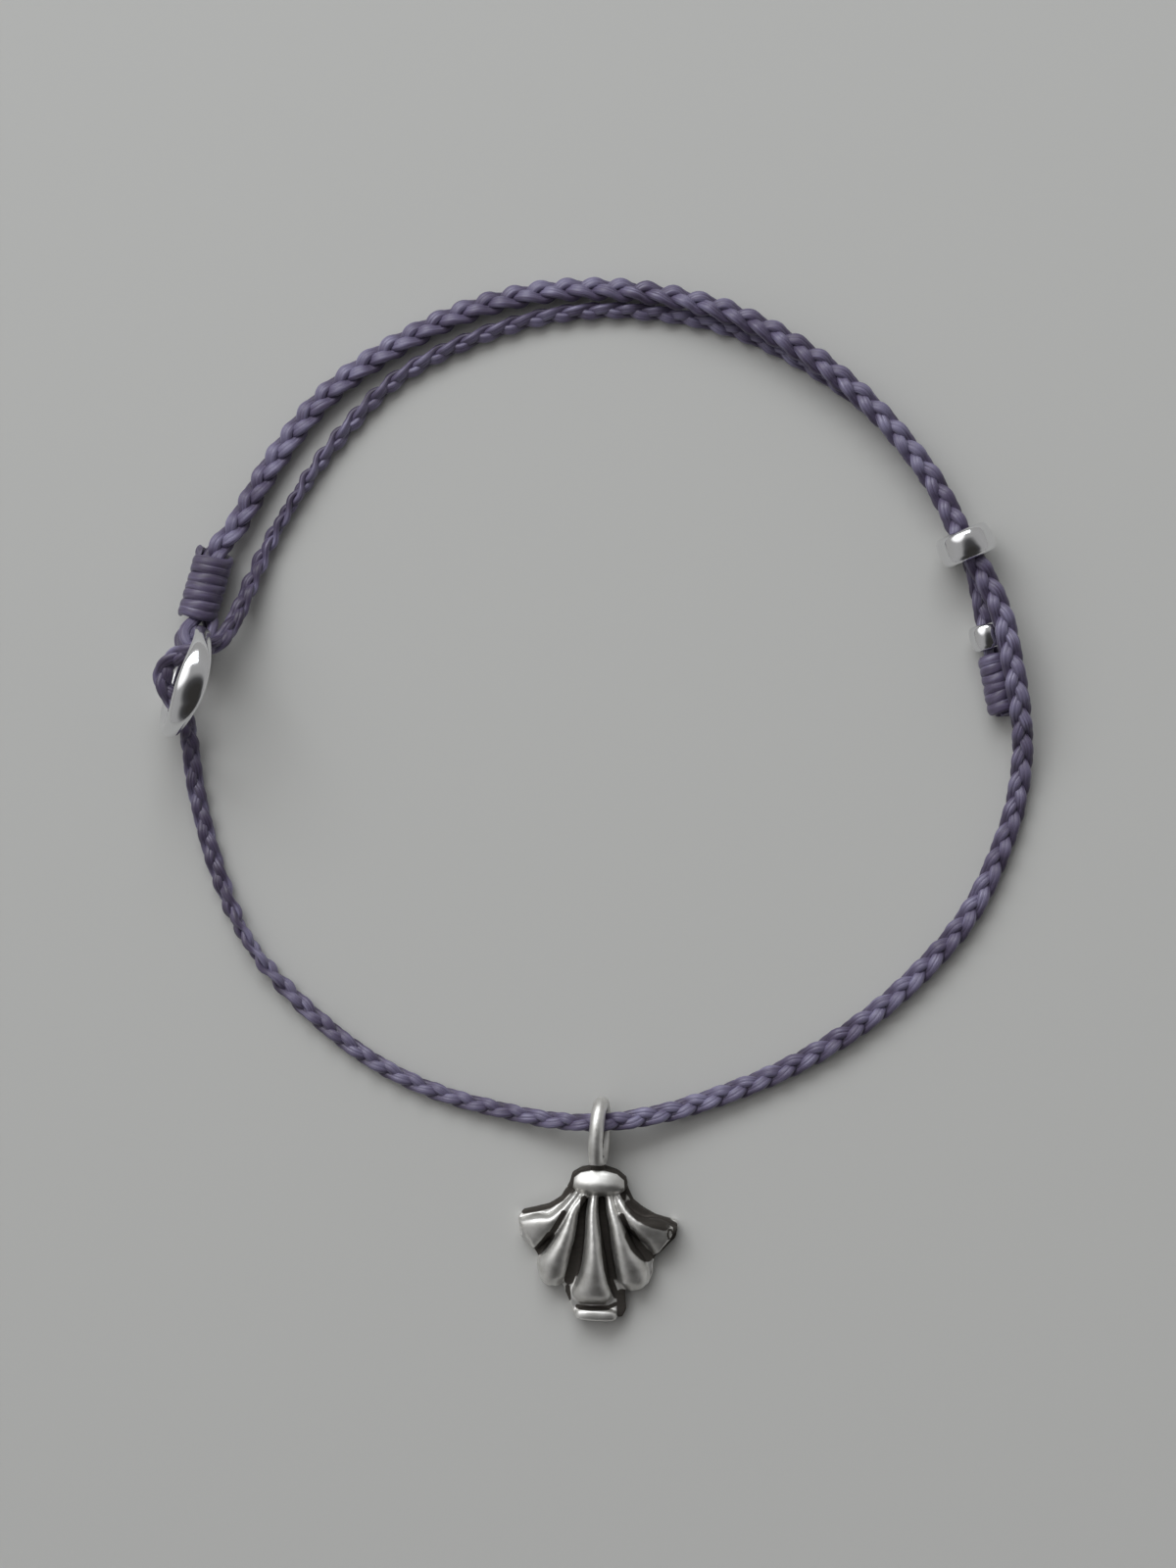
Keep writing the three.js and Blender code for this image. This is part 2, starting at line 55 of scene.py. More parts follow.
# The ring's place, lean and section, and the eye of the braid round it, in millimetres and degrees
RING_BEARING, RING_REACH = 177.55, 29.0
RING_MEAN_RADIUS, RING_RADIAL = 3.525, 1.05
RING_WIDTH, RING_TOP_WIDTH = 1.15, 2.08
RING_HEADING, RING_LEAN, RING_TOP_TILT = 71.8, 14.5, 11
RING_STEPS, RING_SIDES = 144, 40
EYE_ANGLE, EYE_HALF_WIDTH, EYE_LENGTH = -31.5, 0.95, 1.65

Station = namedtuple("Station", "bearing reach rise width")

# The braid's centre line from the ring's whipping round the loop, through the ring and along the tail
STATIONS = [
    Station(*row)
    for row in (
        (168.3, 29.0, 1.42, 1.55),
        (159.0, 29.0, 1.42, 1.6),
        (155.5, 28.5, 1.15, 1.65),
        (144, 28.52, 0.72, 1.72),
        (132, 28.85, 0.69, 1.72),
        (120, 28.8, 0.69, 1.72),
        (108, 28.92, 0.69, 1.72),
        (96, 28.93, 0.76, 1.72),
        (84, 28.72, 1.05, 1.72),
        (72, 28.52, 1.45, 1.72),
        (60, 28.15, 1.7, 1.7),
        (48, 27.85, 1.76, 1.65),
        (36, 27.7, 1.84, 1.6),
        (29.9, 27.6, 2.05, 1.65),
        (23.1, 27.5, 2.5, 1.65),
        (17.9, 27.95, 2.55, 1.68),
        (11.9, 28.42, 2.65, 1.68),
        (5.9, 28.6, 2.7, 1.65),
        (-0.1, 29.0, 2.5, 1.6),
        (-6, 29.55, 1.4, 1.55),
        (-12, 29.82, 0.74, 1.55),
        (-18, 29.87, 0.65, 1.55),
        (-30, 29.78, 0.66, 1.6),
        (-42, 29.28, 0.66, 1.6),
        (-54, 29.0, 0.65, 1.55),
        (-66, 28.87, 0.63, 1.5),
        (-78, 29.08, 0.95, 1.45),
        (-84, 29.3, 1.45, 1.4),
        (-90, 29.5, 1.85, 1.3),
        (-96, 29.6, 1.4, 1.25),
        (-102, 29.6, 0.8, 1.2),
        (-114, 29.87, 0.51, 1.2),
        (-126, 30.0, 0.49, 1.2),
        (-144, 30.1, 0.49, 1.2),
        (-156, 29.58, 0.52, 1.25),
        (-168, 29.2, 0.55, 1.3),
        (-174, 29.1, 1.0, 1.3),
        (-177, 29.15, 2.0, 1.35),
        (-180.1, 29.95, 2.8, 1.35),
        (-182.2, 30.6, 3.2, 1.4),
        (-184.9, 30.25, 3.5, 1.4),
        (-186.7, 28.7, 4.2, 1.3),
        (-188.1, 27.15, 3.4, 1.25),
        (-191.9, 26.35, 2.2, 1.2),
        (-198, 25.98, 1.15, 1.2),
        (-204, 25.9, 0.63, 1.2),
        (-216, 25.87, 0.49, 1.2),
        (-228, 26.3, 0.49, 1.2),
        (-240, 26.87, 0.49, 1.2),
        (-264, 27.3, 0.49, 1.2),
        (-288, 27.6, 0.49, 1.2),
        (-312, 27.8, 0.49, 1.2),
        (-324, 27.8, 0.55, 1.2),
        (-330, 27.7, 0.9, 1.2),
        (-336.9, 27.6, 1.36, 1.2),
        (-342, 27.42, 1.3, 1.2),
        (-347, 27.25, 1.22, 1.2),
        (-350.6, 27.25, 1.2, 1.2),
        (-354, 27.5, 1.1, 1.2),
        (-360, 27.92, 1.07, 1.2),
        (-362.2, 28.08, 1.07, 1.2),
    )
]

# How far the flat braid is rolled about its own line, by bearing, in degrees
ROLLS = (
    (168, 0), (144, -15), (120, -24), (102, -32), (84, -36), (66, -24), (48, -8), (36, 0), (12, 0), (0, 10),
    (-30, 14), (-78, 12), (-90, 6), (-102, 10), (-114, 18), (-126, 4), (-136, 22), (-143, 75), (-150, 130),
    (-156, 178), (-174, 194), (-188, 200), (-206, 120), (-224, 40), (-234, 40), (-252, 32),
    (-300, 22), (-324, 6), (-333, 0), (-363, 0),
)

# Braid widths at which its cords are thin and thick, and the larger share of a strand where it is thin
THIN_WIDTH, THICK_WIDTH, FULLER_SHARE = 1.2, 1.7, 0.08

# Lengths over which the stacked strands of the eye go over into the plait, and the pitch of their stack
PLAIT_LEAD, PLAIT_DELAY, STACK_PITCH = 1.0, 1.2, 0.56
STACK_ORDER = (1, -1, 0)

# Room that the rolled braid needs over the floor, as shares of its width
EDGE_SHARE, FACE_SHARE = 0.52, 0.42

# How far the cords stray from their line, in millimetres, and how fast, per metre
PLAIT_WANDER, COIL_WANDER, WANDER_SCALE = 0.1, 0.14, 900.0

Whipping = namedtuple("Whipping", "node start end outer")

# Whippings: bearing, reach and rise of both ends, and the outer radius
WHIPPINGS = (
    Whipping("ring_whipping", (168.9, 29.0, 1.42), (159.0, 29.0, 1.42), 1.4),
    Whipping("end_whipping", (-353.0, 27.43, 1.12), (-362.2, 28.08, 1.07), 1.05),
)

# Cord of the whippings: radius as a share of the pitch, flatness, and unevenness as size, rate and start
COIL_RADIUS_SHARE, COIL_FLATNESS = 0.68, 0.56
COIL_WAVES = ((0.11, 1.37, 1), (0.1, 0.61, 0), (0.06, 2.61, 0))

Bead = namedtuple("Bead", "node place heading rim bore half bulge")

# Beads: bearing, reach and rise, heading of the bore, both radii, half length and squareness
BEADS = (
    Bead("slide_bead", (23.1, 27.55, 2.0), -67.5, 2.0, 1.25, 1.075, 2.9),
    Bead("end_bead", (-350.6, 27.25, 1.2), -74.0, 1.2, 0.69, 0.9, 2.4),
)
BEAD_STEPS, BEAD_LIP = 96, 0.12

RibRow = namedtuple("RibRow", "x y half top")

# Ribs of the shell: centre line, half width and height of each section, in millimetres
RIBS = (
    (
        RibRow(-0.25, -0.6, 0.3, 1.8),
        RibRow(-0.36, -2.0, 0.42, 2.4),
        RibRow(-0.18, -4.0, 0.62, 2.75),
        RibRow(0, -6.0, 0.92, 2.8),
        RibRow(0, -7.0, 1.12, 2.6),
        RibRow(0, -8.0, 1.42, 2.2),
        RibRow(0, -8.6, 1.0, 1.5),
    ),
    (
        RibRow(0.65, -0.6, 0.26, 1.7),
        RibRow(1.0, -2.0, 0.4, 2.25),
        RibRow(1.4, -3.0, 0.55, 2.5),
        RibRow(1.72, -4.0, 0.7, 2.6),
        RibRow(2.1, -5.0, 0.88, 2.6),
        RibRow(2.6, -6.0, 1.12, 2.4),
        RibRow(2.85, -6.9, 1.02, 2.0),
        RibRow(2.9, -7.5, 0.55, 1.4),
    ),
    (
        RibRow(-0.8, -0.7, 0.26, 1.7),
        RibRow(-1.2, -1.4, 0.34, 2.0),
        RibRow(-1.66, -2.1, 0.42, 2.3),
        RibRow(-1.92, -3.1, 0.58, 2.5),
        RibRow(-2.15, -4.0, 0.72, 2.6),
        RibRow(-2.5, -5.0, 0.86, 2.6),
        RibRow(-2.82, -6.0, 1.05, 2.4),
        RibRow(-2.85, -6.9, 0.9, 2.0),
        RibRow(-2.75, -7.5, 0.5, 1.4),
    ),
    (
        RibRow(1.2, -0.9, 0.28, 1.6),
        RibRow(1.55, -1.6, 0.36, 2.0),
        RibRow(2.25, -2.5, 0.5, 2.3),
        RibRow(3.1, -3.1, 0.75, 2.4),
        RibRow(4.05, -3.4, 1.05, 2.2),
        RibRow(4.98, -4.0, 1.33, 1.8),
    ),
    (
        RibRow(-1.35, -0.9, 0.28, 1.6),
        RibRow(-1.75, -1.5, 0.36, 2.0),
        RibRow(-2.3, -2.3, 0.5, 2.3),
        RibRow(-3.1, -3.2, 0.75, 2.4),
        RibRow(-4.0, -3.6, 1.05, 2.2),
        RibRow(-4.8, -4.1, 1.29, 1.8),
    ),
)
RIB_SKEWS = (0, 0, 0, 0.35, -0.35)
RIB_FLOOR = 0.3

# Outline of the plate behind the ribs, clockwise from the collar's left end, and its thickness
PLATE = (
    (-2.05, -0.3), (-1.9, 0.4), (-1.3, 0.8), (-0.5, 1.0), (0.4, 1.0), (1.3, 0.75), (1.9, 0.3), (2.05, -0.4),
    (2.5, -1.25), (3.2, -1.75), (4.1, -2.2), (4.95, -2.4), (5.6, -2.5), (5.75, -2.85), (5.6, -3.7),
    (4.65, -4.75), (4.2, -5.15), (4.1, -5.6), (4.15, -6.2), (3.9, -7.0), (3.3, -7.5), (2.7, -7.65),
    (2.25, -7.45), (2.35, -8.2), (2.45, -8.9), (2.2, -9.5), (-1.1, -9.6), (-1.35, -9.2), (-1.6, -8.5),
    (-1.9, -7.9), (-2.1, -7.35), (-2.6, -7.65), (-3.2, -7.45), (-3.7, -6.9), (-4.0, -6.2), (-3.95, -5.5),
    (-4.2, -5.15), (-5.25, -4.3), (-5.5, -2.9), (-5.15, -2.4), (-4.4, -2.2), (-3.4, -1.9), (-2.6, -1.35),
)
PLATE_THICKNESS = 0.9

# Collar, foot and bail of the charm: middles and half sizes in millimetres, tilt in degrees
COLLAR_Y, COLLAR_Z, COLLAR_TILT = -0.08, 1.6, 20
COLLAR_HALF_LENGTH, COLLAR_HALF_WIDTH, COLLAR_HALF_HEIGHT = 2.0, 0.9, 1.0
FOOT_X, FOOT_Y, FOOT_Z = 0.35, -9.4, 0.85
FOOT_HALF_LENGTH, FOOT_HALF_WIDTH, FOOT_HALF_HEIGHT = 1.45, 0.45, 0.85
BAIL_X, BAIL_Y, BAIL_Z = -0.17, 3.3, 1.8
BAIL_HALF_LENGTH, BAIL_HALF_HEIGHT, BAIL_WIRE_RADIUS, BAIL_LEAN = 2.12, 1.26, 0.52, 0.26

# Tarnish: size of the cells in which hollows are looked for, how many cells they span, and their depth
HOLLOW_CELL, HOLLOW_SPAN, HOLLOW_MARGIN = 0.08, 9, 12
HOLLOW_FROM, HOLLOW_TO = 0.8, 1.3

Stroke = namedtuple("Stroke", "half strength points")

# Dark strokes on the charm, in millimetres: round the collar and wings, then the foot, then the grooves;
# dark oxide in the recesses, with painted shade where side walls and hollows lie in shadow
OXIDE_AND_SHADE_STROKES = (
    Stroke(0.2, 1.0, (
        (-2.0, -0.5), (-1.95, 0.3), (-1.4, 0.78), (-0.5, 1.0),
        (0.4, 1.0), (1.3, 0.8), (1.9, 0.3), (2.0, -0.5),
    )),
    Stroke(0.24, 1.0, ((-1.95, -0.7), (-2.6, -1.45), (-3.4, -2.0), (-4.4, -2.3), (-5.1, -2.45))),
    Stroke(0.17, 1.0, (
        (2.0, -0.6), (2.5, -1.3), (3.2, -1.8), (4.1, -2.25), (4.95, -2.5), (5.5, -2.8), (5.55, -3.7),
    )),
    Stroke(0.14, 1.0, ((5.55, -3.7), (4.7, -4.7), (4.2, -5.15))),
    Stroke(0.07, 1.0, (
        (5.0, -3.4), (5.06, -3.1), (5.22, -3.05), (5.38, -3.4), (5.3, -3.75), (5.1, -3.72), (5.0, -3.4),
    )),
    Stroke(0.4, 0.75, ((2.2, -1.6), (3.0, -2.25), (4.0, -2.65), (4.8, -2.8))),
    Stroke(0.14, 1.0, ((-1.0, -8.93), (0.0, -8.97), (1.2, -8.87), (1.7, -8.6))),
    # painted shade: the shadowed side at the foot's right end
    Stroke(0.4, 1.0, ((2.1, -7.9), (2.2, -9.3))),
    Stroke(0.2, 0.8, ((-1.75, -7.6), (-1.65, -8.4))),
    Stroke(0.24, 1.0, ((-1.0, -1.3), (-1.05, -3.0), (-1.18, -4.0), (-1.3, -5.0), (-1.5, -6.0))),
    Stroke(0.36, 1.0, ((-1.28, -4.8), (-1.5, -6.0), (-1.68, -7.1))),
    Stroke(0.23, 1.0, ((0.26, -1.3), (0.48, -3.0), (0.7, -5.0), (0.92, -6.0), (1.22, -7.0), (1.68, -8.0))),
    Stroke(0.2, 1.0, ((-2.35, -2.3), (-2.7, -3.0), (-3.0, -3.6), (-3.5, -4.5))),
    Stroke(0.34, 1.0, ((-3.2, -4.0), (-3.55, -4.6), (-4.0, -5.2))),
    Stroke(0.2, 1.0, ((1.75, -2.3), (2.1, -3.0), (2.4, -3.6))),
    Stroke(0.42, 1.0, ((2.4, -3.6), (2.8, -4.3), (3.4, -4.9), (3.7, -5.1))),
)

# Colours by tone, and the finish of polished and satin silver as roughness range and grain
CORD_TONES = ((0.28, (0.042, 0.029, 0.060)), (0.47, (0.112, 0.090, 0.162)), (0.66, (0.255, 0.235, 0.370)))
CORD_SHEEN = (0.76, 0.8, 1.0, 1.0)
SILVER_TONES = ((0.35, (0.66, 0.65, 0.625)), (0.65, (0.84, 0.83, 0.81)))
# dark oxide colour, also drawn as painted shade on the ring's inner face and the charm's shadowed walls
OXIDE_AND_SHADE_COLOUR = (0.095, 0.086, 0.078, 1.0)
POLISHED = ((0.06, 0.14), 0.05)
SATIN = ((0.4, 0.52), 0.45)

# Stage: floor, camera and window in metres, and the room's dark and bright directions
FLOOR_HALF, FLOOR_COLOUR = 1.5, (0.62, 0.618, 0.602, 1.0)
CAMERA_X, CAMERA_Y, SENSOR_WIDTH = -0.000485, 0.001033, 36.0
WINDOW_PLACE, WINDOW_SIZE, WINDOW_COLOUR = (-0.15, 0.45, 0.38), (0.6, 0.28), (0.95, 0.98, 1.0)
DARK_OVERHEAD, DARK_NEAR_SIDE = (0.28, -0.36, 0.89), (0.30, -0.80, 0.52)
ROOM_TONES = (
    (0.0, (0.62, 0.62, 0.61)),
    (0.5, (0.66, 0.66, 0.66)),
    (0.74, (0.60, 0.60, 0.60)),
    (0.86, (0.10, 0.10, 0.105)),
    (0.95, (0.06, 0.058, 0.055)),
)
GLOW_WAY, GLOW_STRENGTH, GLOW_FROM, GLOW_FULL = (-0.55, 0.42, 0.72), 1.3, 0.86, 0.93


class BraidSettings(bpy.types.PropertyGroup):
    """Sizes of the plaited cord, in millimetres where they are lengths."""

    period: bpy.props.FloatProperty(name="Period", default=5.6, description="Length of one full plait")
    lift: bpy.props.FloatProperty(name="Lift", default=1.05, description="Rise of a cord in cord radii")
    thin_radius: bpy.props.FloatProperty(name="Thin radius", default=0.225, description="Of a tail cord")
    thick_radius: bpy.props.FloatProperty(name="Thick radius", default=0.28, description="Of a loop cord")
    flatness: bpy.props.FloatProperty(name="Flatness", default=1.15, description="Cord width by height")
    strand_share: bpy.props.FloatProperty(name="Strand share", default=0.5, description="Of the width")
    cords: bpy.props.IntProperty(name="Cords in a strand", default=2)
    ring_turns: bpy.props.IntProperty(name="Ring whipping turns", default=7)
    end_turns: bpy.props.IntProperty(name="End whipping turns", default=6)


class CharmSettings(bpy.types.PropertyGroup):
    """Place and finish of the shell charm."""

    x: bpy.props.FloatProperty(name="X", default=0.3, description="Middle of the collar, mm")
    y: bpy.props.FloatProperty(name="Y", default=-26.73, description="Middle of the collar, mm")
    turn: bpy.props.FloatProperty(name="Turn", default=-3.5, description="Degrees about the vertical")
    grain: bpy.props.FloatProperty(name="Grain", default=0.075, description="Remesh size, mm")


class StageSettings(bpy.types.PropertyGroup):
    """Camera, light and floor."""

    height: bpy.props.FloatProperty(name="Camera height", default=0.25)
    frame_height: bpy.props.FloatProperty(name="Frame height", default=0.11034)
    key: bpy.props.FloatProperty(name="Key light", default=1.9, description="Watts")
    room: bpy.props.FloatProperty(name="Room light", default=0.56)


class Tree:
    """A node tree being built: adds nodes, sets or joins their inputs."""

    def __init__(self, tree):
        self.tree = tree

    def feed(self, socket, value):
        if isinstance(value, bpy.types.NodeSocket):
            self.tree.links.new(value, socket)
        else:
            socket.default_value = value

    def node(self, kind, inputs=None, **settings):
        node = self.tree.nodes.new(kind)
        for key, value in settings.items():
            setattr(node, key, value)
        for key, value in (inputs or {}).items():
            self.feed(node.inputs[key], value)
        return node

    def math(self, operation, *values):
        node = self.node("ShaderNodeMath", dict(enumerate(values)), operation=operation)
        return node.outputs[0]

    def vector(self, operation, *values):
        node = self.node("ShaderNodeVectorMath", operation=operation)
        if operation == "SCALE":
            self.feed(node.inputs["Vector"], values[0])
            self.feed(node.inputs["Scale"], values[1])
        else:
            for index, value in enumerate(values):
                self.feed(node.inputs[index], value)
        return node.outputs["Value" if operation in ("DOT_PRODUCT", "LENGTH") else 0]

    def ramp(self, factor, stops):
        node = self.node("ShaderNodeValToRGB", {"Fac": factor})
        band = node.color_ramp
        while len(band.elements) < len(stops):
            band.elements.new(0.5)
        for element, (place, colour) in zip(band.elements, stops):
            element.position = place
            element.color = (*colour, 1.0)
        return node.outputs["Color"]

    def spread(self, value, low, high, to_low, to_high):
        node = self.node("ShaderNodeMapRange")
        for index, item in enumerate((value, low, high, to_low, to_high)):
            self.feed(node.inputs[index], item)
        return node.outputs[0]


def on_loop(bearing, reach, rise):
    angle = math.radians(bearing)
    return LOOP_CENTRE + (reach * math.cos(angle), reach * math.sin(angle), rise)


def ring_frame():
    """The ring's centre and its directions: across in the plan, up with its lean, and its axis."""
    heading, lean = math.radians(RING_HEADING), math.radians(RING_LEAN)
    across = np.array((math.cos(heading), math.sin(heading), 0.0))
    up = np.array((math.sin(lean) * math.sin(heading), -math.sin(lean) * math.cos(heading), math.cos(lean)))
    rest = math.hypot(RING_RADIAL / 2 * math.cos(lean), RING_WIDTH / 2 * math.sin(lean))
    centre = on_loop(RING_BEARING, RING_REACH, RING_MEAN_RADIUS * math.cos(lean) + rest)
    return centre, across, up, np.cross(across, up)


def eye_points():
    centre, across, up, axis = ring_frame()
    angle = math.radians(EYE_ANGLE)
    spoke = math.cos(angle) * across + math.sin(angle) * up
    foot = RING_MEAN_RADIUS + EYE_LENGTH
    route = [(foot + 0.5, 0.6), (foot - 0.3, 1.0), (foot - 1.1, 1.0)]
    for step in range(5):
        turn = math.pi * step / 4
        route.append((RING_MEAN_RADIUS - EYE_HALF_WIDTH * math.sin(turn), math.cos(turn)))
    route += [(foot - 1.2, -0.9), (foot - 0.55, -0.5)]
    return [centre + out * spoke + side * EYE_HALF_WIDTH * axis for out, side in route]


def spline(points, per_span=40):
    """Points of a centripetal Catmull-Rom curve, and the index of each given point among them."""
    points = np.asarray(points, float)
    ends = np.vstack((2 * points[0] - points[1], points, 2 * points[-1] - points[-2]))
    share = np.linspace(0, 1, per_span, endpoint=False)[:, None]
    runs = []
    for index in range(len(points) - 1):
        before, start, end, after = ends[index:index + 4]
        spans = ((before, start), (start, end), (end, after))
        first, middle, last = (np.sqrt(np.linalg.norm(there - here)) for here, there in spans)
        leave = (start - before) / first - (end - before) / (first + middle) + (end - start) / middle
        arrive = (end - start) / middle - (after - start) / (middle + last) + (after - end) / last
        leave, arrive = leave * middle, arrive * middle
        square = -3 * start + 3 * end - 2 * leave - arrive
        cube = 2 * start - 2 * end + leave + arrive
        runs.append(start + leave * share + square * share**2 + cube * share**3)
    runs.append(points[-1:])
    return np.vstack(runs), np.arange(len(points)) * per_span


def smooth_step(value, low, high):
    share = np.clip((value - low) / (high - low), 0, 1)
    return share * share * (3 - 2 * share)


def unit(vectors):
    return vectors / np.linalg.norm(vectors, axis=-1, keepdims=True)


def braid_route(step=0.11):
    """The braid's centre line in metres with what each point carries: distance, width and directions."""
    eye = eye_points()
    line, marks = spline(eye + [on_loop(row.bearing, row.reach, row.rise) for row in STATIONS])
    length = np.concatenate(([0], np.cumsum(np.linalg.norm(np.diff(line, axis=0), axis=1))))
    station_at = length[marks[len(eye):]]
    along = np.arange(0, length[-1], step)
    points = np.stack([np.interp(along, length, line[:, axis]) for axis in range(3)], axis=1)
    tangent = unit(np.gradient(points, axis=0))
    start = station_at[0] + PLAIT_DELAY
    plaited = smooth_step(along, station_at[0] - PLAIT_LEAD, start)
    _, across, up, _ = ring_frame()
    angle = math.radians(EYE_ANGLE + 90)
    wire = math.cos(angle) * across + math.sin(angle) * up
    upright = wire + (np.array((0, 0, 1.0)) - wire) * plaited[:, None]
    side = unit(np.cross(upright, tangent))
    over = np.cross(tangent, side)
    wide = np.interp(along, station_at, [row.width for row in STATIONS])
    bearing = np.interp(along, station_at, [row.bearing for row in STATIONS])
    roll = np.radians(np.interp(-bearing, *zip(*((-place, angle) for place, angle in ROLLS)))) * plaited
    roll = np.convolve(np.pad(roll, 20, "edge"), np.full(41, 1 / 41), "valid")
    half_height = np.hypot(EDGE_SHARE * wide * np.sin(roll), FACE_SHARE * wide * np.cos(roll))
    points[:, 2] = np.where(plaited < 1, points[:, 2], np.maximum(points[:, 2], half_height))
    sine, cosine = np.sin(roll)[:, None], np.cos(roll)[:, None]
    return {
        "points": points * MM,
        "start": start * MM,
        "along": along * MM,
        "wide": wide * MM,
        "plaited": plaited,
        "side": side * cosine + over * sine,
        "over": over * cosine - side * sine,
    }


def line_object(name, points, **carried):
    """A chain of edges through the points, with named values on them."""
    mesh = bpy.data.meshes.new(name)
    mesh.from_pydata(points.tolist(), [(i, i + 1) for i in range(len(points) - 1)], [])
    for key, values in carried.items():
        kind, field = ("FLOAT_VECTOR", "vector") if values.ndim == 2 else ("FLOAT", "value")
        mesh.attributes.new(key, kind, "POINT").data.foreach_set(field, values.astype(np.float32).ravel())
    line = bpy.data.objects.new(name, mesh)
    bpy.context.collection.objects.link(line)
    return line


def grow(line, tree, name, **inputs):
    """Runs a node tree on a line and returns the result as a plain mesh object."""
    modifier = line.modifiers.new("Grow", "NODES")
    modifier.node_group = tree
    sockets = {item.name: item.identifier for item in tree.interface.items_tree if item.in_out == "INPUT"}
    for key, value in inputs.items():
        modifier[sockets[key.replace("_", " ").capitalize()]] = value
    bpy.context.view_layer.update()
    graph = bpy.context.evaluated_depsgraph_get()
    mesh = bpy.data.meshes.new_from_object(line.evaluated_get(graph))
    mesh.name = name
    line.modifiers.remove(modifier)
    bpy.data.objects.remove(line)
    for key in ("side", "over", "plaited", "wide"):
        if key in mesh.attributes:
            mesh.attributes.remove(mesh.attributes[key])
    return add_object(name, mesh)


def add_object(name, mesh):
    piece = bpy.data.objects.new(name, mesh)
    bpy.context.collection.objects.link(piece)
    return piece


def settle(piece, slot, *nodes):
    """Fixes a finished piece to the frame in place of its CAD nodes."""
    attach(piece, "root")
    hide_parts(*nodes)


def add_sockets(tree, rows):
    tree.interface.new_socket("Geometry", in_out="INPUT", socket_type="NodeSocketGeometry")
    for name, kind in rows:
        tree.interface.new_socket(name, in_out="INPUT", socket_type="NodeSocket" + kind)
    tree.interface.new_socket("Geometry", in_out="OUTPUT", socket_type="NodeSocketGeometry")


def sweep_cord(t, curve, radius, material, sides=12, shape=None, flatness=1.0):
    """Gives a curve its cord, with the place round the cord stored for the material."""
    circle = t.node("GeometryNodeCurvePrimitiveCircle", {"Resolution": sides, "Radius": 1.0})
    place = t.node("GeometryNodeSplineParameter").outputs["Factor"]
    ring = t.node("GeometryNodeStoreNamedAttribute", {"Geometry": circle.outputs["Curve"], "Name": "round"})
    t.feed(ring.inputs["Value"], place)
    stretch = t.node("ShaderNodeCombineXYZ", {"X": 1.0, "Y": flatness, "Z": 1.0})
    flat = t.node("GeometryNodeTransform", {"Geometry": ring.outputs["Geometry"]})
    t.feed(flat.inputs["Scale"], stretch.outputs[0])
    skin = t.node("GeometryNodeCurveToMesh", {"Curve": curve, "Scale": radius, "Fill Caps": True})
    t.feed(skin.inputs["Profile Curve"], flat.outputs["Geometry"])
    shaped = shape(skin.outputs["Mesh"]) if shape else skin.outputs["Mesh"]
    soft = t.node("GeometryNodeSetShadeSmooth", {"Geometry": shaped})
    real = t.node("GeometryNodeRealizeInstances", {"Geometry": soft.outputs["Geometry"]})
    painted = t.node("GeometryNodeSetMaterial", {"Geometry": real.outputs["Geometry"]})
    t.feed(painted.inputs["Material"], material)
    out = t.node("NodeGroupOutput")
    t.feed(out.inputs[0], painted.outputs["Geometry"])


def carried(t, name, kind="FLOAT"):
    return t.node("GeometryNodeInputNamedAttribute", {"Name": name}, data_type=kind).outputs["Attribute"]


def wander(t, curve, amount):
    """Moves a curve's points a little, the same way each time."""
    place = t.node("GeometryNodeInputPosition").outputs[0]
    noise = t.node("ShaderNodeTexNoise", {"Vector": place, "Scale": WANDER_SCALE, "Detail": 1.0})
    shift = t.vector("SCALE", t.vector("SUBTRACT", noise.outputs["Color"], (0.5, 0.5, 0.5)), amount)
    return t.node("GeometryNodeSetPosition", {"Geometry": curve, "Offset": shift}).outputs["Geometry"]


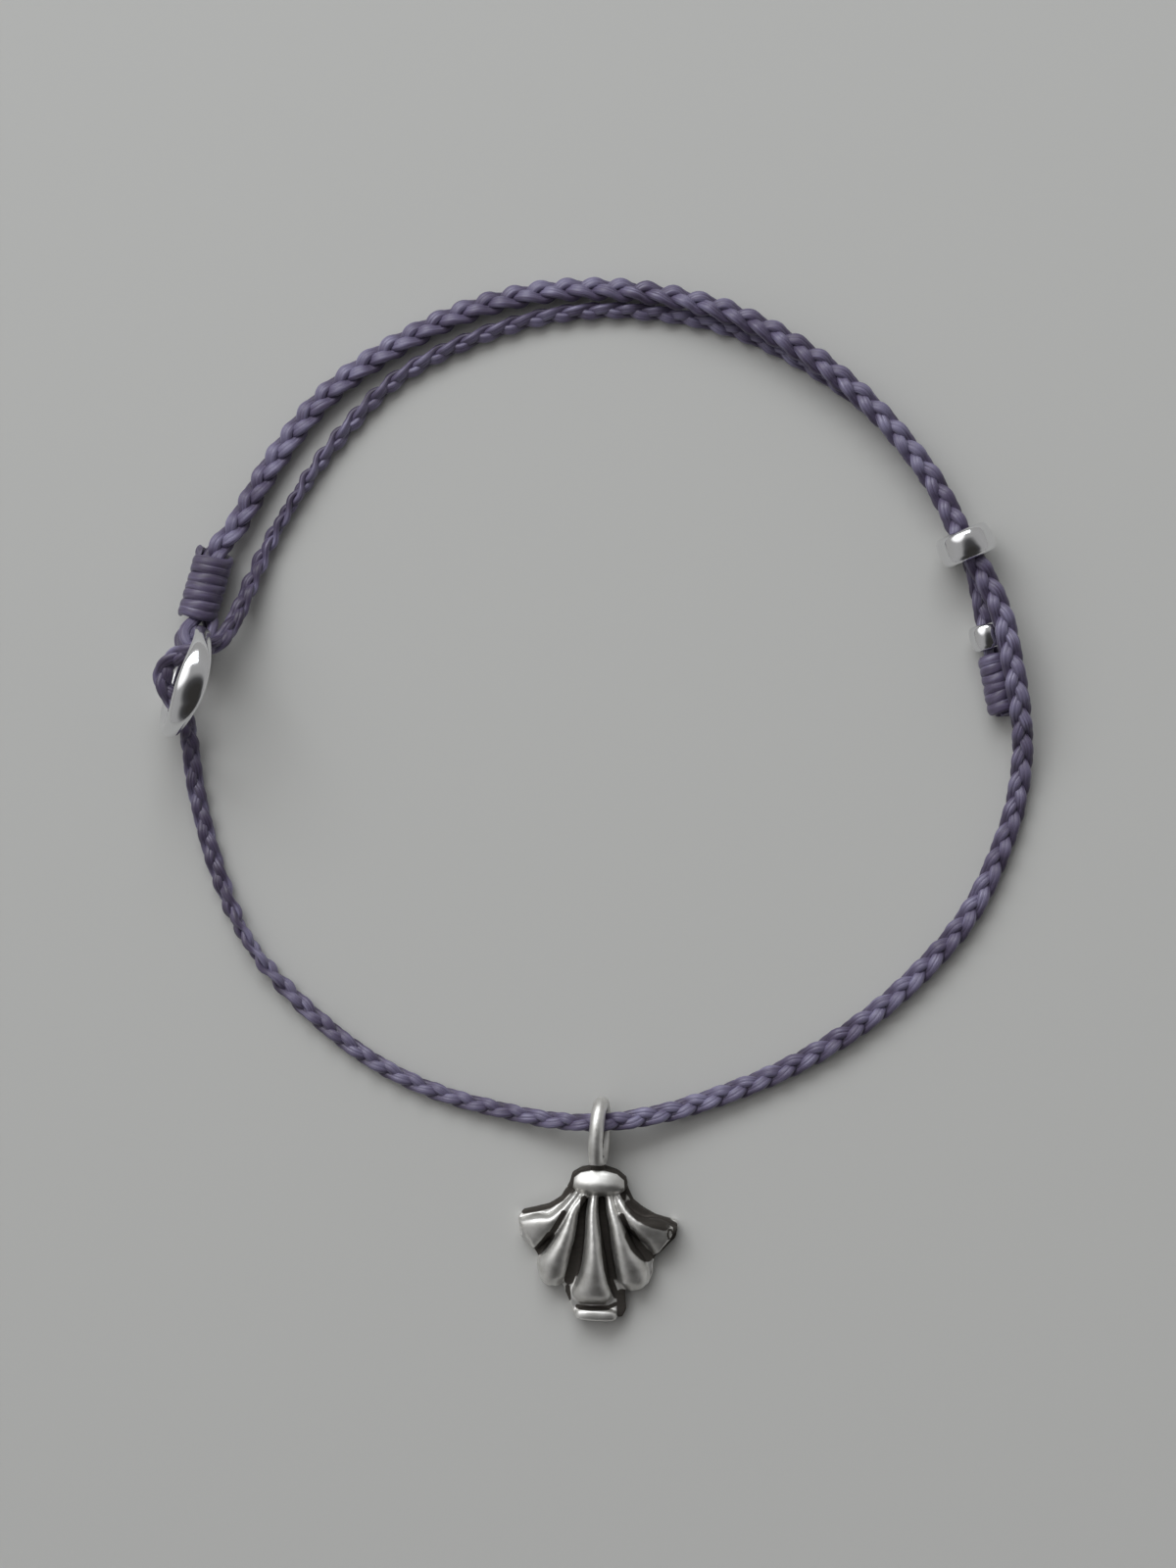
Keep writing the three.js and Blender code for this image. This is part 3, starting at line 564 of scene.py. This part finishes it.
def plait_tree():
    """Lays one strand of the plait on the centre line and splits it into its paired cords."""
    tree = bpy.data.node_groups.new("Plaited strand", "GeometryNodeTree")
    add_sockets(tree, [
        ("Strand", "Int"), ("Cords", "Int"), ("Period", "Float"), ("Start", "Float"), ("Stack", "Float"),
        ("Lift", "Float"), ("Thin radius", "Float"), ("Thick radius", "Float"), ("Flatness", "Float"),
        ("Strand share", "Float"), ("Material", "Material"),
    ])
    t = Tree(tree)
    given = t.node("NodeGroupInput").outputs
    wide, plaited = carried(t, "wide"), carried(t, "plaited")
    side, over = carried(t, "side", "FLOAT_VECTOR"), carried(t, "over", "FLOAT_VECTOR")
    thin, thick = THIN_WIDTH * MM, THICK_WIDTH * MM
    cord_radius = t.spread(wide, thin, thick, given["Thin radius"], given["Thick radius"])
    run = t.math("MAXIMUM", t.math("SUBTRACT", carried(t, "along"), given["Start"]), 0.0)
    turn = t.math("DIVIDE", run, given["Period"])
    share = t.math("ADD", turn, t.math("DIVIDE", given["Strand"], 3.0))
    phase = t.math("MULTIPLY_ADD", share, 2 * math.pi, math.pi / 6)
    sine = t.math("SINE", phase)
    wave = t.math("SINE", t.math("MULTIPLY", phase, 2.0))
    plump = t.math("MULTIPLY_ADD", t.math("ABSOLUTE", wave), 0.2, 0.86)
    radius = t.math("MULTIPLY", cord_radius, plump)
    fuller = t.math("ADD", given["Strand share"], FULLER_SHARE)
    bundle = t.math("MULTIPLY", wide, t.spread(wide, thin, thick, fuller, given["Strand share"]))
    cord = t.math("MULTIPLY", t.math("MULTIPLY", cord_radius, 2.0), given["Flatness"])
    close = t.math("MULTIPLY_ADD", plaited, 0.4, 0.6)
    pair = t.math("MULTIPLY", t.math("SUBTRACT", bundle, cord), close)
    reach = t.math("MULTIPLY", t.math("SUBTRACT", wide, bundle), 0.5)
    linger = t.math("MULTIPLY_ADD", t.math("MULTIPLY", sine, sine), -0.25, 1.25)
    swing = t.math("MULTIPLY", t.math("MULTIPLY", reach, t.math("MULTIPLY", sine, linger)), plaited)
    rise = t.math("MULTIPLY", t.math("MULTIPLY", cord_radius, given["Lift"]), wave)
    stacked = t.math("MULTIPLY", given["Stack"], t.math("SUBTRACT", 1.0, plaited))
    level = t.math("ADD", t.math("MULTIPLY", rise, plaited), stacked)
    curve = t.node("GeometryNodeMeshToCurve", {"Mesh": given["Geometry"]}).outputs["Curve"]
    marked = t.node("GeometryNodeStoreNamedAttribute", {"Geometry": curve, "Name": "crest", "Value": wave})
    offset = t.vector("ADD", t.vector("SCALE", side, swing), t.vector("SCALE", over, level))
    laid = t.node("GeometryNodeSetPosition", {"Geometry": marked.outputs["Geometry"], "Offset": offset})
    laid = laid.outputs["Geometry"]
    split = t.node("GeometryNodeDuplicateElements", {"Geometry": laid}, domain="SPLINE")
    t.feed(split.inputs["Amount"], given["Cords"])
    tangent = t.node("GeometryNodeInputTangent").outputs["Tangent"]
    apart = t.vector("NORMALIZE", t.vector("CROSS_PRODUCT", over, tangent))
    middle = t.math("MULTIPLY", t.math("SUBTRACT", given["Cords"], 1.0), 0.5)
    spacing = t.math("MULTIPLY", t.math("SUBTRACT", split.outputs["Duplicate Index"], middle), pair)
    paired = t.node("GeometryNodeSetPosition", {"Geometry": split.outputs["Geometry"]})
    t.feed(paired.inputs["Offset"], t.vector("SCALE", apart, spacing))
    loose = wander(t, paired.outputs["Geometry"], PLAIT_WANDER * MM)
    square = t.vector("SUBTRACT", over, t.vector("SCALE", tangent, t.vector("DOT_PRODUCT", over, tangent)))
    banked = t.node("GeometryNodeSetCurveNormal", {"Curve": loose}, mode="FREE")
    t.feed(banked.inputs["Normal"], t.vector("NORMALIZE", square))
    sweep_cord(t, banked.outputs["Curve"], radius, given["Material"], flatness=given["Flatness"])
    return tree


def coil_tree():
    """Winds a cord along a helix and presses it flat towards the axis."""
    tree = bpy.data.node_groups.new("Whipping", "GeometryNodeTree")
    add_sockets(tree, [
        ("Radius", "Float"), ("Wander", "Float"), ("Flatness", "Float"), ("Core", "Float"),
        ("Axis point", "Vector"), ("Axis", "Vector"), ("Material", "Material"),
    ])
    t = Tree(tree)
    given = t.node("NodeGroupInput").outputs
    curve = t.node("GeometryNodeMeshToCurve", {"Mesh": given["Geometry"]}).outputs["Curve"]
    loose = wander(t, curve, given["Wander"])

    def press(mesh):
        place = t.node("GeometryNodeInputPosition").outputs[0]
        away = t.vector("SUBTRACT", place, given["Axis point"])
        forward = t.vector("SCALE", given["Axis"], t.vector("DOT_PRODUCT", away, given["Axis"]))
        spoke = t.vector("SUBTRACT", away, forward)
        deep = t.math("SUBTRACT", t.vector("LENGTH", spoke), given["Core"])
        shift = t.math("MULTIPLY", deep, t.math("SUBTRACT", given["Flatness"], 1.0))
        offset = t.vector("SCALE", t.vector("NORMALIZE", spoke), shift)
        return t.node("GeometryNodeSetPosition", {"Geometry": mesh, "Offset": offset}).outputs["Geometry"]

    sweep_cord(t, loose, given["Radius"], given["Material"], sides=16, shape=press)
    return tree


def cord_material():
    """Waxed lavender cord: fine filaments along it, with painted highlight where the lobes' crests catch
    the light and painted shade where they dip under.
    """
    material = bpy.data.materials.new("waxed_cord")
    material.use_nodes = True
    t = Tree(material.node_tree)
    shader = material.node_tree.nodes["Principled BSDF"]
    around = t.node("ShaderNodeAttribute", attribute_name="round").outputs["Fac"]
    along = t.node("ShaderNodeAttribute", attribute_name="along").outputs["Fac"]
    lay = t.node("ShaderNodeCombineXYZ", {"X": t.math("MULTIPLY", around, 11.0)})
    t.feed(lay.inputs["Y"], t.math("MULTIPLY", along, 500.0))
    threads = t.node("ShaderNodeTexNoise", {"Vector": lay.outputs[0], "Scale": 1.0, "Detail": 4.0})
    place = t.node("ShaderNodeTexCoord").outputs["Object"]
    patches = t.node("ShaderNodeTexNoise", {"Vector": place, "Scale": 260.0, "Detail": 2.0})
    crest = t.node("ShaderNodeAttribute", attribute_name="crest").outputs["Fac"]
    fine = t.math("MULTIPLY", threads.outputs["Fac"], 0.55)
    broad = t.math("MULTIPLY", patches.outputs["Fac"], 0.35)
    # painted light: the lobes are drawn lighter where the cord rides high and darker where it dips under
    # the other strands
    tone = t.math("MULTIPLY_ADD", crest, 0.09, t.math("ADD", fine, broad))
    t.feed(shader.inputs["Base Color"], t.ramp(tone, CORD_TONES))
    t.feed(shader.inputs["Roughness"], t.spread(threads.outputs["Fac"], 0.3, 0.7, 0.52, 0.34))
    bump = t.node("ShaderNodeBump", {"Strength": 0.5, "Distance": 0.04 * MM})
    t.feed(bump.inputs["Height"], threads.outputs["Fac"])
    t.feed(shader.inputs["Normal"], bump.outputs["Normal"])
    shader.inputs["Specular IOR Level"].default_value = 0.6
    shader.inputs["Sheen Weight"].default_value = 0.12
    shader.inputs["Sheen Tint"].default_value = CORD_SHEEN
    return material


def silver_material(name, polish, grain):
    """Silver with fine scratches, dark and rough where the oxide-and-shade value is high: real oxide in
    hollows, painted shade elsewhere.
    """
    material = bpy.data.materials.new(name)
    material.use_nodes = True
    t = Tree(material.node_tree)
    shader = material.node_tree.nodes["Principled BSDF"]
    place = t.node("ShaderNodeTexCoord").outputs["Object"]
    stretched = t.node("ShaderNodeMapping", {"Vector": place, "Scale": (900.0, 5200.0, 2500.0)})
    scratches = t.node("ShaderNodeTexNoise", {"Vector": stretched.outputs[0], "Scale": 1.0, "Detail": 3.0})
    clouds = t.node("ShaderNodeTexNoise", {"Vector": place, "Scale": 1100.0, "Detail": 4.0})
    darkening = t.node("ShaderNodeAttribute", attribute_name="oxide_and_shade").outputs["Fac"]
    edge = t.math("MULTIPLY_ADD", t.math("SUBTRACT", clouds.outputs["Fac"], 0.5), 0.6, darkening)
    dark = t.spread(edge, 0.3, 0.7, 0.0, 1.0)
    bright = t.ramp(clouds.outputs["Fac"], SILVER_TONES)
    mixed = t.node("ShaderNodeMix", data_type="RGBA")
    for socket, value in ((0, dark), (6, bright), (7, OXIDE_AND_SHADE_COLOUR)):
        t.feed(mixed.inputs[socket], value)
    t.feed(shader.inputs["Base Color"], mixed.outputs[2])
    smooth = t.spread(scratches.outputs["Fac"], 0.3, 0.7, *polish)
    t.feed(shader.inputs["Roughness"], t.math("MULTIPLY_ADD", dark, 0.25, smooth))
    bump = t.node("ShaderNodeBump", {"Strength": grain, "Distance": 0.03 * MM})
    t.feed(bump.inputs["Height"], clouds.outputs["Fac"])
    t.feed(shader.inputs["Normal"], bump.outputs["Normal"])
    shader.inputs["Metallic"].default_value = 1.0
    return material


def shared_material(name, make, *finish):
    """The material of this name, made when it is first asked for."""
    return bpy.data.materials.get(name) or make(*finish)


def waxed_cord():
    return shared_material("waxed_cord", cord_material)


def polished_silver():
    return shared_material("silver", silver_material, "silver", *POLISHED)


def satin_silver():
    return shared_material("satin_silver", silver_material, "satin_silver", *SATIN)


def skin_mesh(name, rings, runs_round):
    """A quad skin through rings of points in millimetres; open ends get a cap."""
    rings = np.asarray(rings, float)
    rows, sides, _ = rings.shape
    faces = []
    for row in range(rows if runs_round else rows - 1):
        here, there = row * sides, (row + 1) % rows * sides
        for side in range(sides):
            over = (side + 1) % sides
            faces.append((here + side, here + over, there + over, there + side))
    if not runs_round:
        faces.append(tuple(reversed(range(sides))))
        faces.append(tuple(range((rows - 1) * sides, rows * sides)))
    mesh = bpy.data.meshes.new(name)
    mesh.from_pydata((rings.reshape(-1, 3) * MM).tolist(), [], faces)
    mesh.shade_smooth()
    return mesh


# Stores how dark the silver is drawn: oxide in the charm's hollows, painted shade on the ring's inner face
# and on shadowed walls, and a darker bead bore
def store_oxide_and_shade(mesh, values):
    mesh.attributes.new("oxide_and_shade", "FLOAT", "POINT").data.foreach_set("value", values.astype(np.float32))


class BRACELET_OT_braid(bpy.types.Operator):
    """Lay the three strands of the plait along the bracelet's route"""

    bl_idname = "bracelet.braid"
    bl_label = "Braid"

    def execute(self, context):
        settings = context.scene.bracelet_braid
        route = braid_route()
        tree = plait_tree()
        material = waxed_cord()
        keep = {key: route[key] for key in ("along", "wide", "plaited", "side", "over")}
        for index, letter in enumerate("abc"):
            line = line_object("route_" + letter, route["points"], **keep)
            piece = grow(
                line, tree, "plait_" + letter, strand=index, cords=settings.cords,
                period=settings.period * MM, start=float(route["start"]),
                stack=STACK_PITCH * MM * STACK_ORDER[index], lift=settings.lift,
                thin_radius=settings.thin_radius * MM, thick_radius=settings.thick_radius * MM,
                flatness=settings.flatness, strand_share=settings.strand_share, material=material,
            )
            settle(piece, "cord", "braid_strand_" + letter)
        return {"FINISHED"}


class BRACELET_OT_ring(bpy.types.Operator):
    """Build the domed silver ring that the tail runs through"""

    bl_idname = "bracelet.ring"
    bl_label = "Ring"

    def execute(self, context):
        centre, across, up, axis = ring_frame()
        rings, darkening = [], []
        for step in range(RING_STEPS):
            angle = 2 * math.pi * step / RING_STEPS
            spoke = math.cos(angle) * across + math.sin(angle) * up
            swell = max(0.0, math.sin(angle)) ** 3
            half = (RING_WIDTH + (RING_TOP_WIDTH - RING_WIDTH) * swell) / 2
            tilt = math.radians(RING_TOP_TILT) * swell
            ring = []
            for side in range(RING_SIDES):
                turn = -2 * math.pi * side / RING_SIDES
                out = RING_RADIAL / 2 * math.copysign(abs(math.cos(turn)) ** 0.65, math.cos(turn))
                wide = half * math.sin(turn)
                radial = RING_MEAN_RADIUS + out * math.cos(tilt) + wide * math.sin(tilt)
                ring.append(centre + spoke * radial + axis * (wide * math.cos(tilt) - out * math.sin(tilt)))
                # painted shade: the band's inner face is drawn dark as if in shadow
                darkening.append(0.95 * smooth_step(-math.cos(turn), 0.1, 0.6))
            rings.append(ring)
        mesh = skin_mesh("ring_band", rings, True)
        store_oxide_and_shade(mesh, np.array(darkening))
        mesh.materials.append(polished_silver())
        settle(add_object("ring_band", mesh), "silver", "ring")
        return {"FINISHED"}


class BRACELET_OT_whippings(bpy.types.Operator):
    """Wind the cord that closes the eye and the cord that stops the tail's end"""

    bl_idname = "bracelet.whippings"
    bl_label = "Whippings"

    def execute(self, context):
        settings = context.scene.bracelet_braid
        tree = coil_tree()
        material = waxed_cord()
        for row, turns in zip(WHIPPINGS, (settings.ring_turns, settings.end_turns)):
            start, end = on_loop(*row.start), on_loop(*row.end)
            axis = unit(end - start)
            side = unit(np.cross((0, 0, 1.0), axis))
            over = np.cross(axis, side)
            pitch = np.linalg.norm(end - start) / (turns + 0.95)
            radius = pitch * COIL_RADIUS_SHARE
            core = row.outer - radius * COIL_FLATNESS
            angle = np.linspace(0, 2 * math.pi * turns, turns * 48)
            uneven = sum(size * np.sin(angle * rate + first) for size, rate, first in COIL_WAVES)
            forward = pitch * (0.5 + angle / (2 * math.pi) + uneven)
            spoke = np.cos(angle)[:, None] * side + np.sin(angle)[:, None] * over
            points = (start + forward[:, None] * axis + spoke * core) * MM
            line = line_object(row.node + "_line", points, along=angle * core * MM)
            piece = grow(
                line, tree, row.node + "_cord", radius=radius * MM, wander=COIL_WANDER * MM,
                flatness=COIL_FLATNESS, core=core * MM, axis_point=tuple(start * MM), axis=tuple(axis),
                material=material,
            )
            settle(piece, "cord", row.node)
        return {"FINISHED"}


class BRACELET_OT_beads(bpy.types.Operator):
    """Turn the slide bead and the small end bead"""

    bl_idname = "bracelet.beads"
    bl_label = "Beads"

    def execute(self, context):
        for bead in BEADS:
            angle = math.radians(bead.heading)
            axis = np.array((math.cos(angle), math.sin(angle), 0.0))
            side = np.cross((0, 0, 1.0), axis)
            centre = on_loop(*bead.place)
            section = self.section(bead)
            rings = []
            for step in range(BEAD_STEPS):
                turn = 2 * math.pi * step / BEAD_STEPS
                spoke = math.cos(turn) * side + math.sin(turn) * np.array((0, 0, 1.0))
                rings.append([centre + spoke * out + axis * place for out, place in section])
            mesh = skin_mesh(bead.node + "_silver", rings, True)
            # the bore is drawn darker
            store_oxide_and_shade(mesh, np.tile([0.6 * (out < bead.bore + 0.1) for out, _ in section], BEAD_STEPS))
            mesh.materials.append(polished_silver())
            settle(add_object(bead.node + "_silver", mesh), "silver", bead.node)
        return {"FINISHED"}

    def section(self, bead):
        """The bead's half section: a straight bore and a rounded outside."""
        lip = bead.bore + BEAD_LIP
        power = 2 / bead.bulge
        outside = []
        for step in range(25):
            turn = math.pi * step / 24 - math.pi / 2
            place = bead.half * math.copysign(abs(math.sin(turn)) ** power, math.sin(turn))
            outside.append((lip + (bead.rim - lip) * abs(math.cos(turn)) ** power, place))
        inside = [(bead.bore, (0.92 - 0.23 * step) * bead.half) for step in range(9)]
        return (outside + inside)[::-1]


class BRACELET_OT_charm(bpy.types.Operator):
    """Model the shell charm with its ribs, collar, foot and bail as one casting"""

    bl_idname = "bracelet.charm"
    bl_label = "Charm"

    def execute(self, context):
        settings = context.scene.bracelet_charm
        lumps = [self.plate(), self.collar(), self.foot(), self.bail(), *map(self.rib, RIBS, RIB_SKEWS)]
        rough = bpy.data.meshes.new("charm_rough")
        corners, faces = [], []
        for mesh in lumps:
            base = len(corners)
            corners += [tuple(vertex.co) for vertex in mesh.vertices]
            faces += [tuple(base + index for index in face.vertices) for face in mesh.polygons]
            bpy.data.meshes.remove(mesh)
        rough.from_pydata(corners, [], faces)
        casting = add_object("charm_rough", rough)
        remesh = casting.modifiers.new("Cast", "REMESH")
        remesh.mode = "VOXEL"
        remesh.voxel_size = settings.grain * MM
        bpy.context.view_layer.update()
        graph = bpy.context.evaluated_depsgraph_get()
        mesh = bpy.data.meshes.new_from_object(casting.evaluated_get(graph))
        bpy.data.objects.remove(casting)
        self.polish(mesh)
        turn = Matrix.Rotation(math.radians(settings.turn), 4, "Z")
        mesh.transform(Matrix.Translation(Vector((settings.x, settings.y, 0)) * MM) @ turn)
        mesh.name = "shell_charm"
        mesh.shade_smooth()
        mesh.materials.append(satin_silver())
        settle(add_object("shell_charm", mesh), "silver", "charm")
        return {"FINISHED"}

    def polish(self, mesh):
        """Smooths the casting and stores how dark each point is drawn: oxide by how deep it lies in a
        hollow, and the dark strokes, partly painted shade.
        """
        points = np.empty(len(mesh.vertices) * 3, np.float32)
        mesh.vertices.foreach_get("co", points)
        points = points.reshape(-1, 3).astype(float)
        ends = np.empty(len(mesh.edges) * 2, np.int32)
        mesh.edges.foreach_get("vertices", ends)
        first, second = ends.reshape(-1, 2).T
        count = np.bincount(ends, minlength=len(points))[:, None]

        def relax(values, times, share):
            for _ in range(times):
                total = np.stack([
                    np.bincount(first, values[second, axis], len(points))
                    + np.bincount(second, values[first, axis], len(points))
                    for axis in range(3)
                ], axis=1)
                values = values + share * (total / count - values)
            return values

        smooth = relax(points, 4, 0.6)
        smooth[:, 2] = np.maximum(smooth[:, 2], 0)
        mesh.vertices.foreach_set("co", smooth.astype(np.float32).ravel())
        mesh.update()
        place = smooth / MM
        darkening = smooth_step(self.depth(place), HOLLOW_FROM, HOLLOW_TO)
        for stroke in OXIDE_AND_SHADE_STROKES:
            away = self.distance(place[:, :2], np.array(stroke.points))
            fade = 1 - smooth_step(away, stroke.half * 0.6, stroke.half * 1.4)
            darkening = np.maximum(darkening, stroke.strength * fade)
        store_oxide_and_shade(mesh, darkening)

    def depth(self, place):
        """How far each point lies under the tops around it."""
        cell = np.round((place[:, :2] - place[:, :2].min(0)) / HOLLOW_CELL).astype(int) + HOLLOW_MARGIN
        high = np.zeros(cell.max(0) + HOLLOW_MARGIN + 1)
        np.maximum.at(high, (cell[:, 0], cell[:, 1]), place[:, 2])
        for pick in (np.maximum, np.minimum):
            for _ in range(HOLLOW_SPAN):
                high = pick(high, pick(np.roll(high, 1, 0), np.roll(high, -1, 0)))
                high = pick(high, pick(np.roll(high, 1, 1), np.roll(high, -1, 1)))
        return high[cell[:, 0], cell[:, 1]] - place[:, 2]

    def distance(self, place, stroke):
        """Distance of each point from a line of joined pieces."""
        best = np.full(len(place), 99.0)
        for start, end in zip(stroke[:-1], stroke[1:]):
            along = np.clip((place - start) @ (end - start) / np.sum((end - start) ** 2), 0, 1)
            best = np.minimum(best, np.linalg.norm(place - start - along[:, None] * (end - start), axis=1))
        return best

    def rib(self, rows, skew):
        """A rib with a broad rounded back, its flat underside sunk in the plate."""
        table, _ = spline([(row.x, row.y, row.half) for row in rows], 8)
        tops, _ = spline([(row.top, row.y, 0) for row in rows], 8)
        rings = []
        heading = unit(np.gradient(table[:, :2], axis=0))
        for (x, y, half), top, (ahead_x, ahead_y) in zip(table, tops[:, 0], heading):
            ring = []
            for side in range(25):
                turn = math.pi * side / 24
                across = half * (math.cos(turn) + skew * math.sin(turn) ** 2)
                height = RIB_FLOOR + (top - RIB_FLOOR) * abs(math.sin(turn)) ** 0.5
                ring.append((x - ahead_y * across, y + ahead_x * across, height))
            rings.append(ring)
        return skin_mesh("rib", rings, False)

    def plate(self):
        rings = [[(x, y, z) for x, y in PLATE[::-1]] for z in (0.0, PLATE_THICKNESS)]
        return skin_mesh("plate", rings, False)

    def collar(self):
        """A cushion across the head of the shell, its face tilted towards the bail."""
        tilt = math.radians(COLLAR_TILT)
        rings = []
        for step in range(33):
            turn = math.pi * step / 32
            size = max(0.02, math.sin(turn) ** 0.8)
            ring = []
            for angle in np.linspace(0, 2 * math.pi, 32, endpoint=False):
                flat = COLLAR_HALF_WIDTH * size * self.square(math.cos(angle))
                deep = COLLAR_HALF_HEIGHT * size * self.square(math.sin(angle))
                ring.append((
                    -COLLAR_HALF_LENGTH * math.cos(turn),
                    COLLAR_Y + flat * math.cos(tilt) + deep * math.sin(tilt),
                    COLLAR_Z + deep * math.cos(tilt) - flat * math.sin(tilt),
                ))
            rings.append(ring)
        return skin_mesh("collar", rings, False)

    def foot(self):
        """A small bar across the lower end of the shell."""
        rings = []
        for step in range(25):
            turn = math.pi * step / 24
            size = max(0.05, math.sin(turn) ** 0.35)
            x = FOOT_X - FOOT_HALF_LENGTH * math.cos(turn)
            rings.append([
                (x, FOOT_Y + FOOT_HALF_WIDTH * size * self.square(math.cos(angle)),
                 FOOT_Z + FOOT_HALF_HEIGHT * size * self.square(math.sin(angle)))
                for angle in np.linspace(0, 2 * math.pi, 32, endpoint=False)
            ])
        return skin_mesh("foot", rings, False)

    def square(self, value):
        return math.copysign(abs(value) ** 0.6, value)

    def bail(self):
        """A long loop of round wire, standing on edge along the charm and leaning a little."""
        rings = []
        for step in range(72):
            angle = 2 * math.pi * step / 72
            ahead, high = math.cos(angle), math.sin(angle)
            ring = []
            for turn in np.linspace(0, -2 * math.pi, 24, endpoint=False):
                out, aside = BAIL_WIRE_RADIUS * math.cos(turn), BAIL_WIRE_RADIUS * math.sin(turn)
                ring.append((
                    BAIL_X - BAIL_LEAN * high + aside,
                    BAIL_Y + (BAIL_HALF_LENGTH + out) * ahead,
                    BAIL_Z + (BAIL_HALF_HEIGHT + out) * high,
                ))
            rings.append(ring)
        return skin_mesh("bail", rings, True)


class BRACELET_OT_stage(bpy.types.Operator):
    """Set the pale floor, the soft lights and the camera straight above"""

    bl_idname = "bracelet.stage"
    bl_label = "Stage"

    def execute(self, context):
        settings = context.scene.bracelet_stage
        self.floor()
        self.sky(context, settings.room)
        self.light("window", WINDOW_PLACE, WINDOW_SIZE, settings.key, WINDOW_COLOUR)
        camera = bpy.data.cameras.new("camera")
        camera.sensor_width = SENSOR_WIDTH
        camera.lens = SENSOR_WIDTH * settings.height / settings.frame_height
        camera.clip_start = 0.005
        view = bpy.data.objects.new("camera", camera)
        view.location = (CAMERA_X, CAMERA_Y, settings.height)
        context.collection.objects.link(view)
        context.scene.camera = view
        context.scene.view_settings.view_transform = "Standard"
        return {"FINISHED"}

    def floor(self):
        mesh = bpy.data.meshes.new("floor")
        signs = ((-1, -1), (1, -1), (1, 1), (-1, 1))
        mesh.from_pydata([(x * FLOOR_HALF, y * FLOOR_HALF, 0) for x, y in signs], [], [(0, 1, 2, 3)])
        material = bpy.data.materials.new("pale_floor")
        material.use_nodes = True
        shader = material.node_tree.nodes["Principled BSDF"]
        shader.inputs["Base Color"].default_value = FLOOR_COLOUR
        shader.inputs["Roughness"].default_value = 0.9
        mesh.materials.append(material)
        add_object("floor", mesh)

    def sky(self, context, strength):
        """A soft room: bright round the sides and at the window, dark overhead and on the near side."""
        world = bpy.data.worlds.new("room")
        context.scene.world = world
        world.use_nodes = True
        t = Tree(world.node_tree)
        way = t.node("ShaderNodeTexCoord").outputs["Generated"]
        above = t.vector("DOT_PRODUCT", way, DARK_OVERHEAD)
        shade = t.math("MAXIMUM", above, t.vector("DOT_PRODUCT", way, DARK_NEAR_SIDE))
        back = world.node_tree.nodes["Background"]
        t.feed(back.inputs["Color"], t.ramp(shade, ROOM_TONES))
        back.inputs["Strength"].default_value = strength
        glow = t.node("ShaderNodeBackground", {"Color": (1.0, 1.0, 1.0, 1.0), "Strength": GLOW_STRENGTH})
        towards = t.vector("DOT_PRODUCT", way, GLOW_WAY)
        near = t.spread(towards, GLOW_FROM, GLOW_FULL, 0.0, 1.0)
        both = t.node("ShaderNodeMixShader", {0: near, 1: back.outputs[0], 2: glow.outputs[0]})
        t.feed(world.node_tree.nodes["World Output"].inputs["Surface"], both.outputs[0])

    def light(self, name, place, size, power, colour):
        lamp = bpy.data.lights.new(name, "AREA")
        lamp.shape = "RECTANGLE"
        lamp.size, lamp.size_y = size
        lamp.energy = power
        lamp.color = colour
        holder = bpy.data.objects.new(name, lamp)
        holder.location = place
        holder.rotation_euler = (-Vector(place)).to_track_quat("-Z", "Y").to_euler()
        bpy.context.collection.objects.link(holder)


class BRACELET_PT_panel(bpy.types.Panel):
    """Settings and build steps in the sidebar"""

    bl_label = "Bracelet"
    bl_space_type = "VIEW_3D"
    bl_region_type = "UI"
    bl_category = "Bracelet"

    def draw(self, context):
        for group in (getattr(context.scene, name) for name in GROUPS):
            box = self.layout.box()
            for key in group.bl_rna.properties.keys():
                if key not in ("rna_type", "name"):
                    box.prop(group, key)
        for step in STEPS:
            self.layout.operator(step.bl_idname)


STEPS = (
    BRACELET_OT_braid,
    BRACELET_OT_ring,
    BRACELET_OT_whippings,
    BRACELET_OT_beads,
    BRACELET_OT_charm,
    BRACELET_OT_stage,
)
GROUPS = {"bracelet_braid": BraidSettings, "bracelet_charm": CharmSettings, "bracelet_stage": StageSettings}


def register():
    for item in (*GROUPS.values(), *STEPS, BRACELET_PT_panel):
        bpy.utils.register_class(item)
    for name, group in GROUPS.items():
        setattr(bpy.types.Scene, name, bpy.props.PointerProperty(type=group))


def unregister():
    for name in GROUPS:
        delattr(bpy.types.Scene, name)
    for item in reversed((*GROUPS.values(), *STEPS, BRACELET_PT_panel)):
        bpy.utils.unregister_class(item)


def main():
    register()
    for group, step in (item.bl_idname.split(".") for item in STEPS):
        getattr(getattr(bpy.ops, group), step)()


if __name__ == "__main__":
    main()
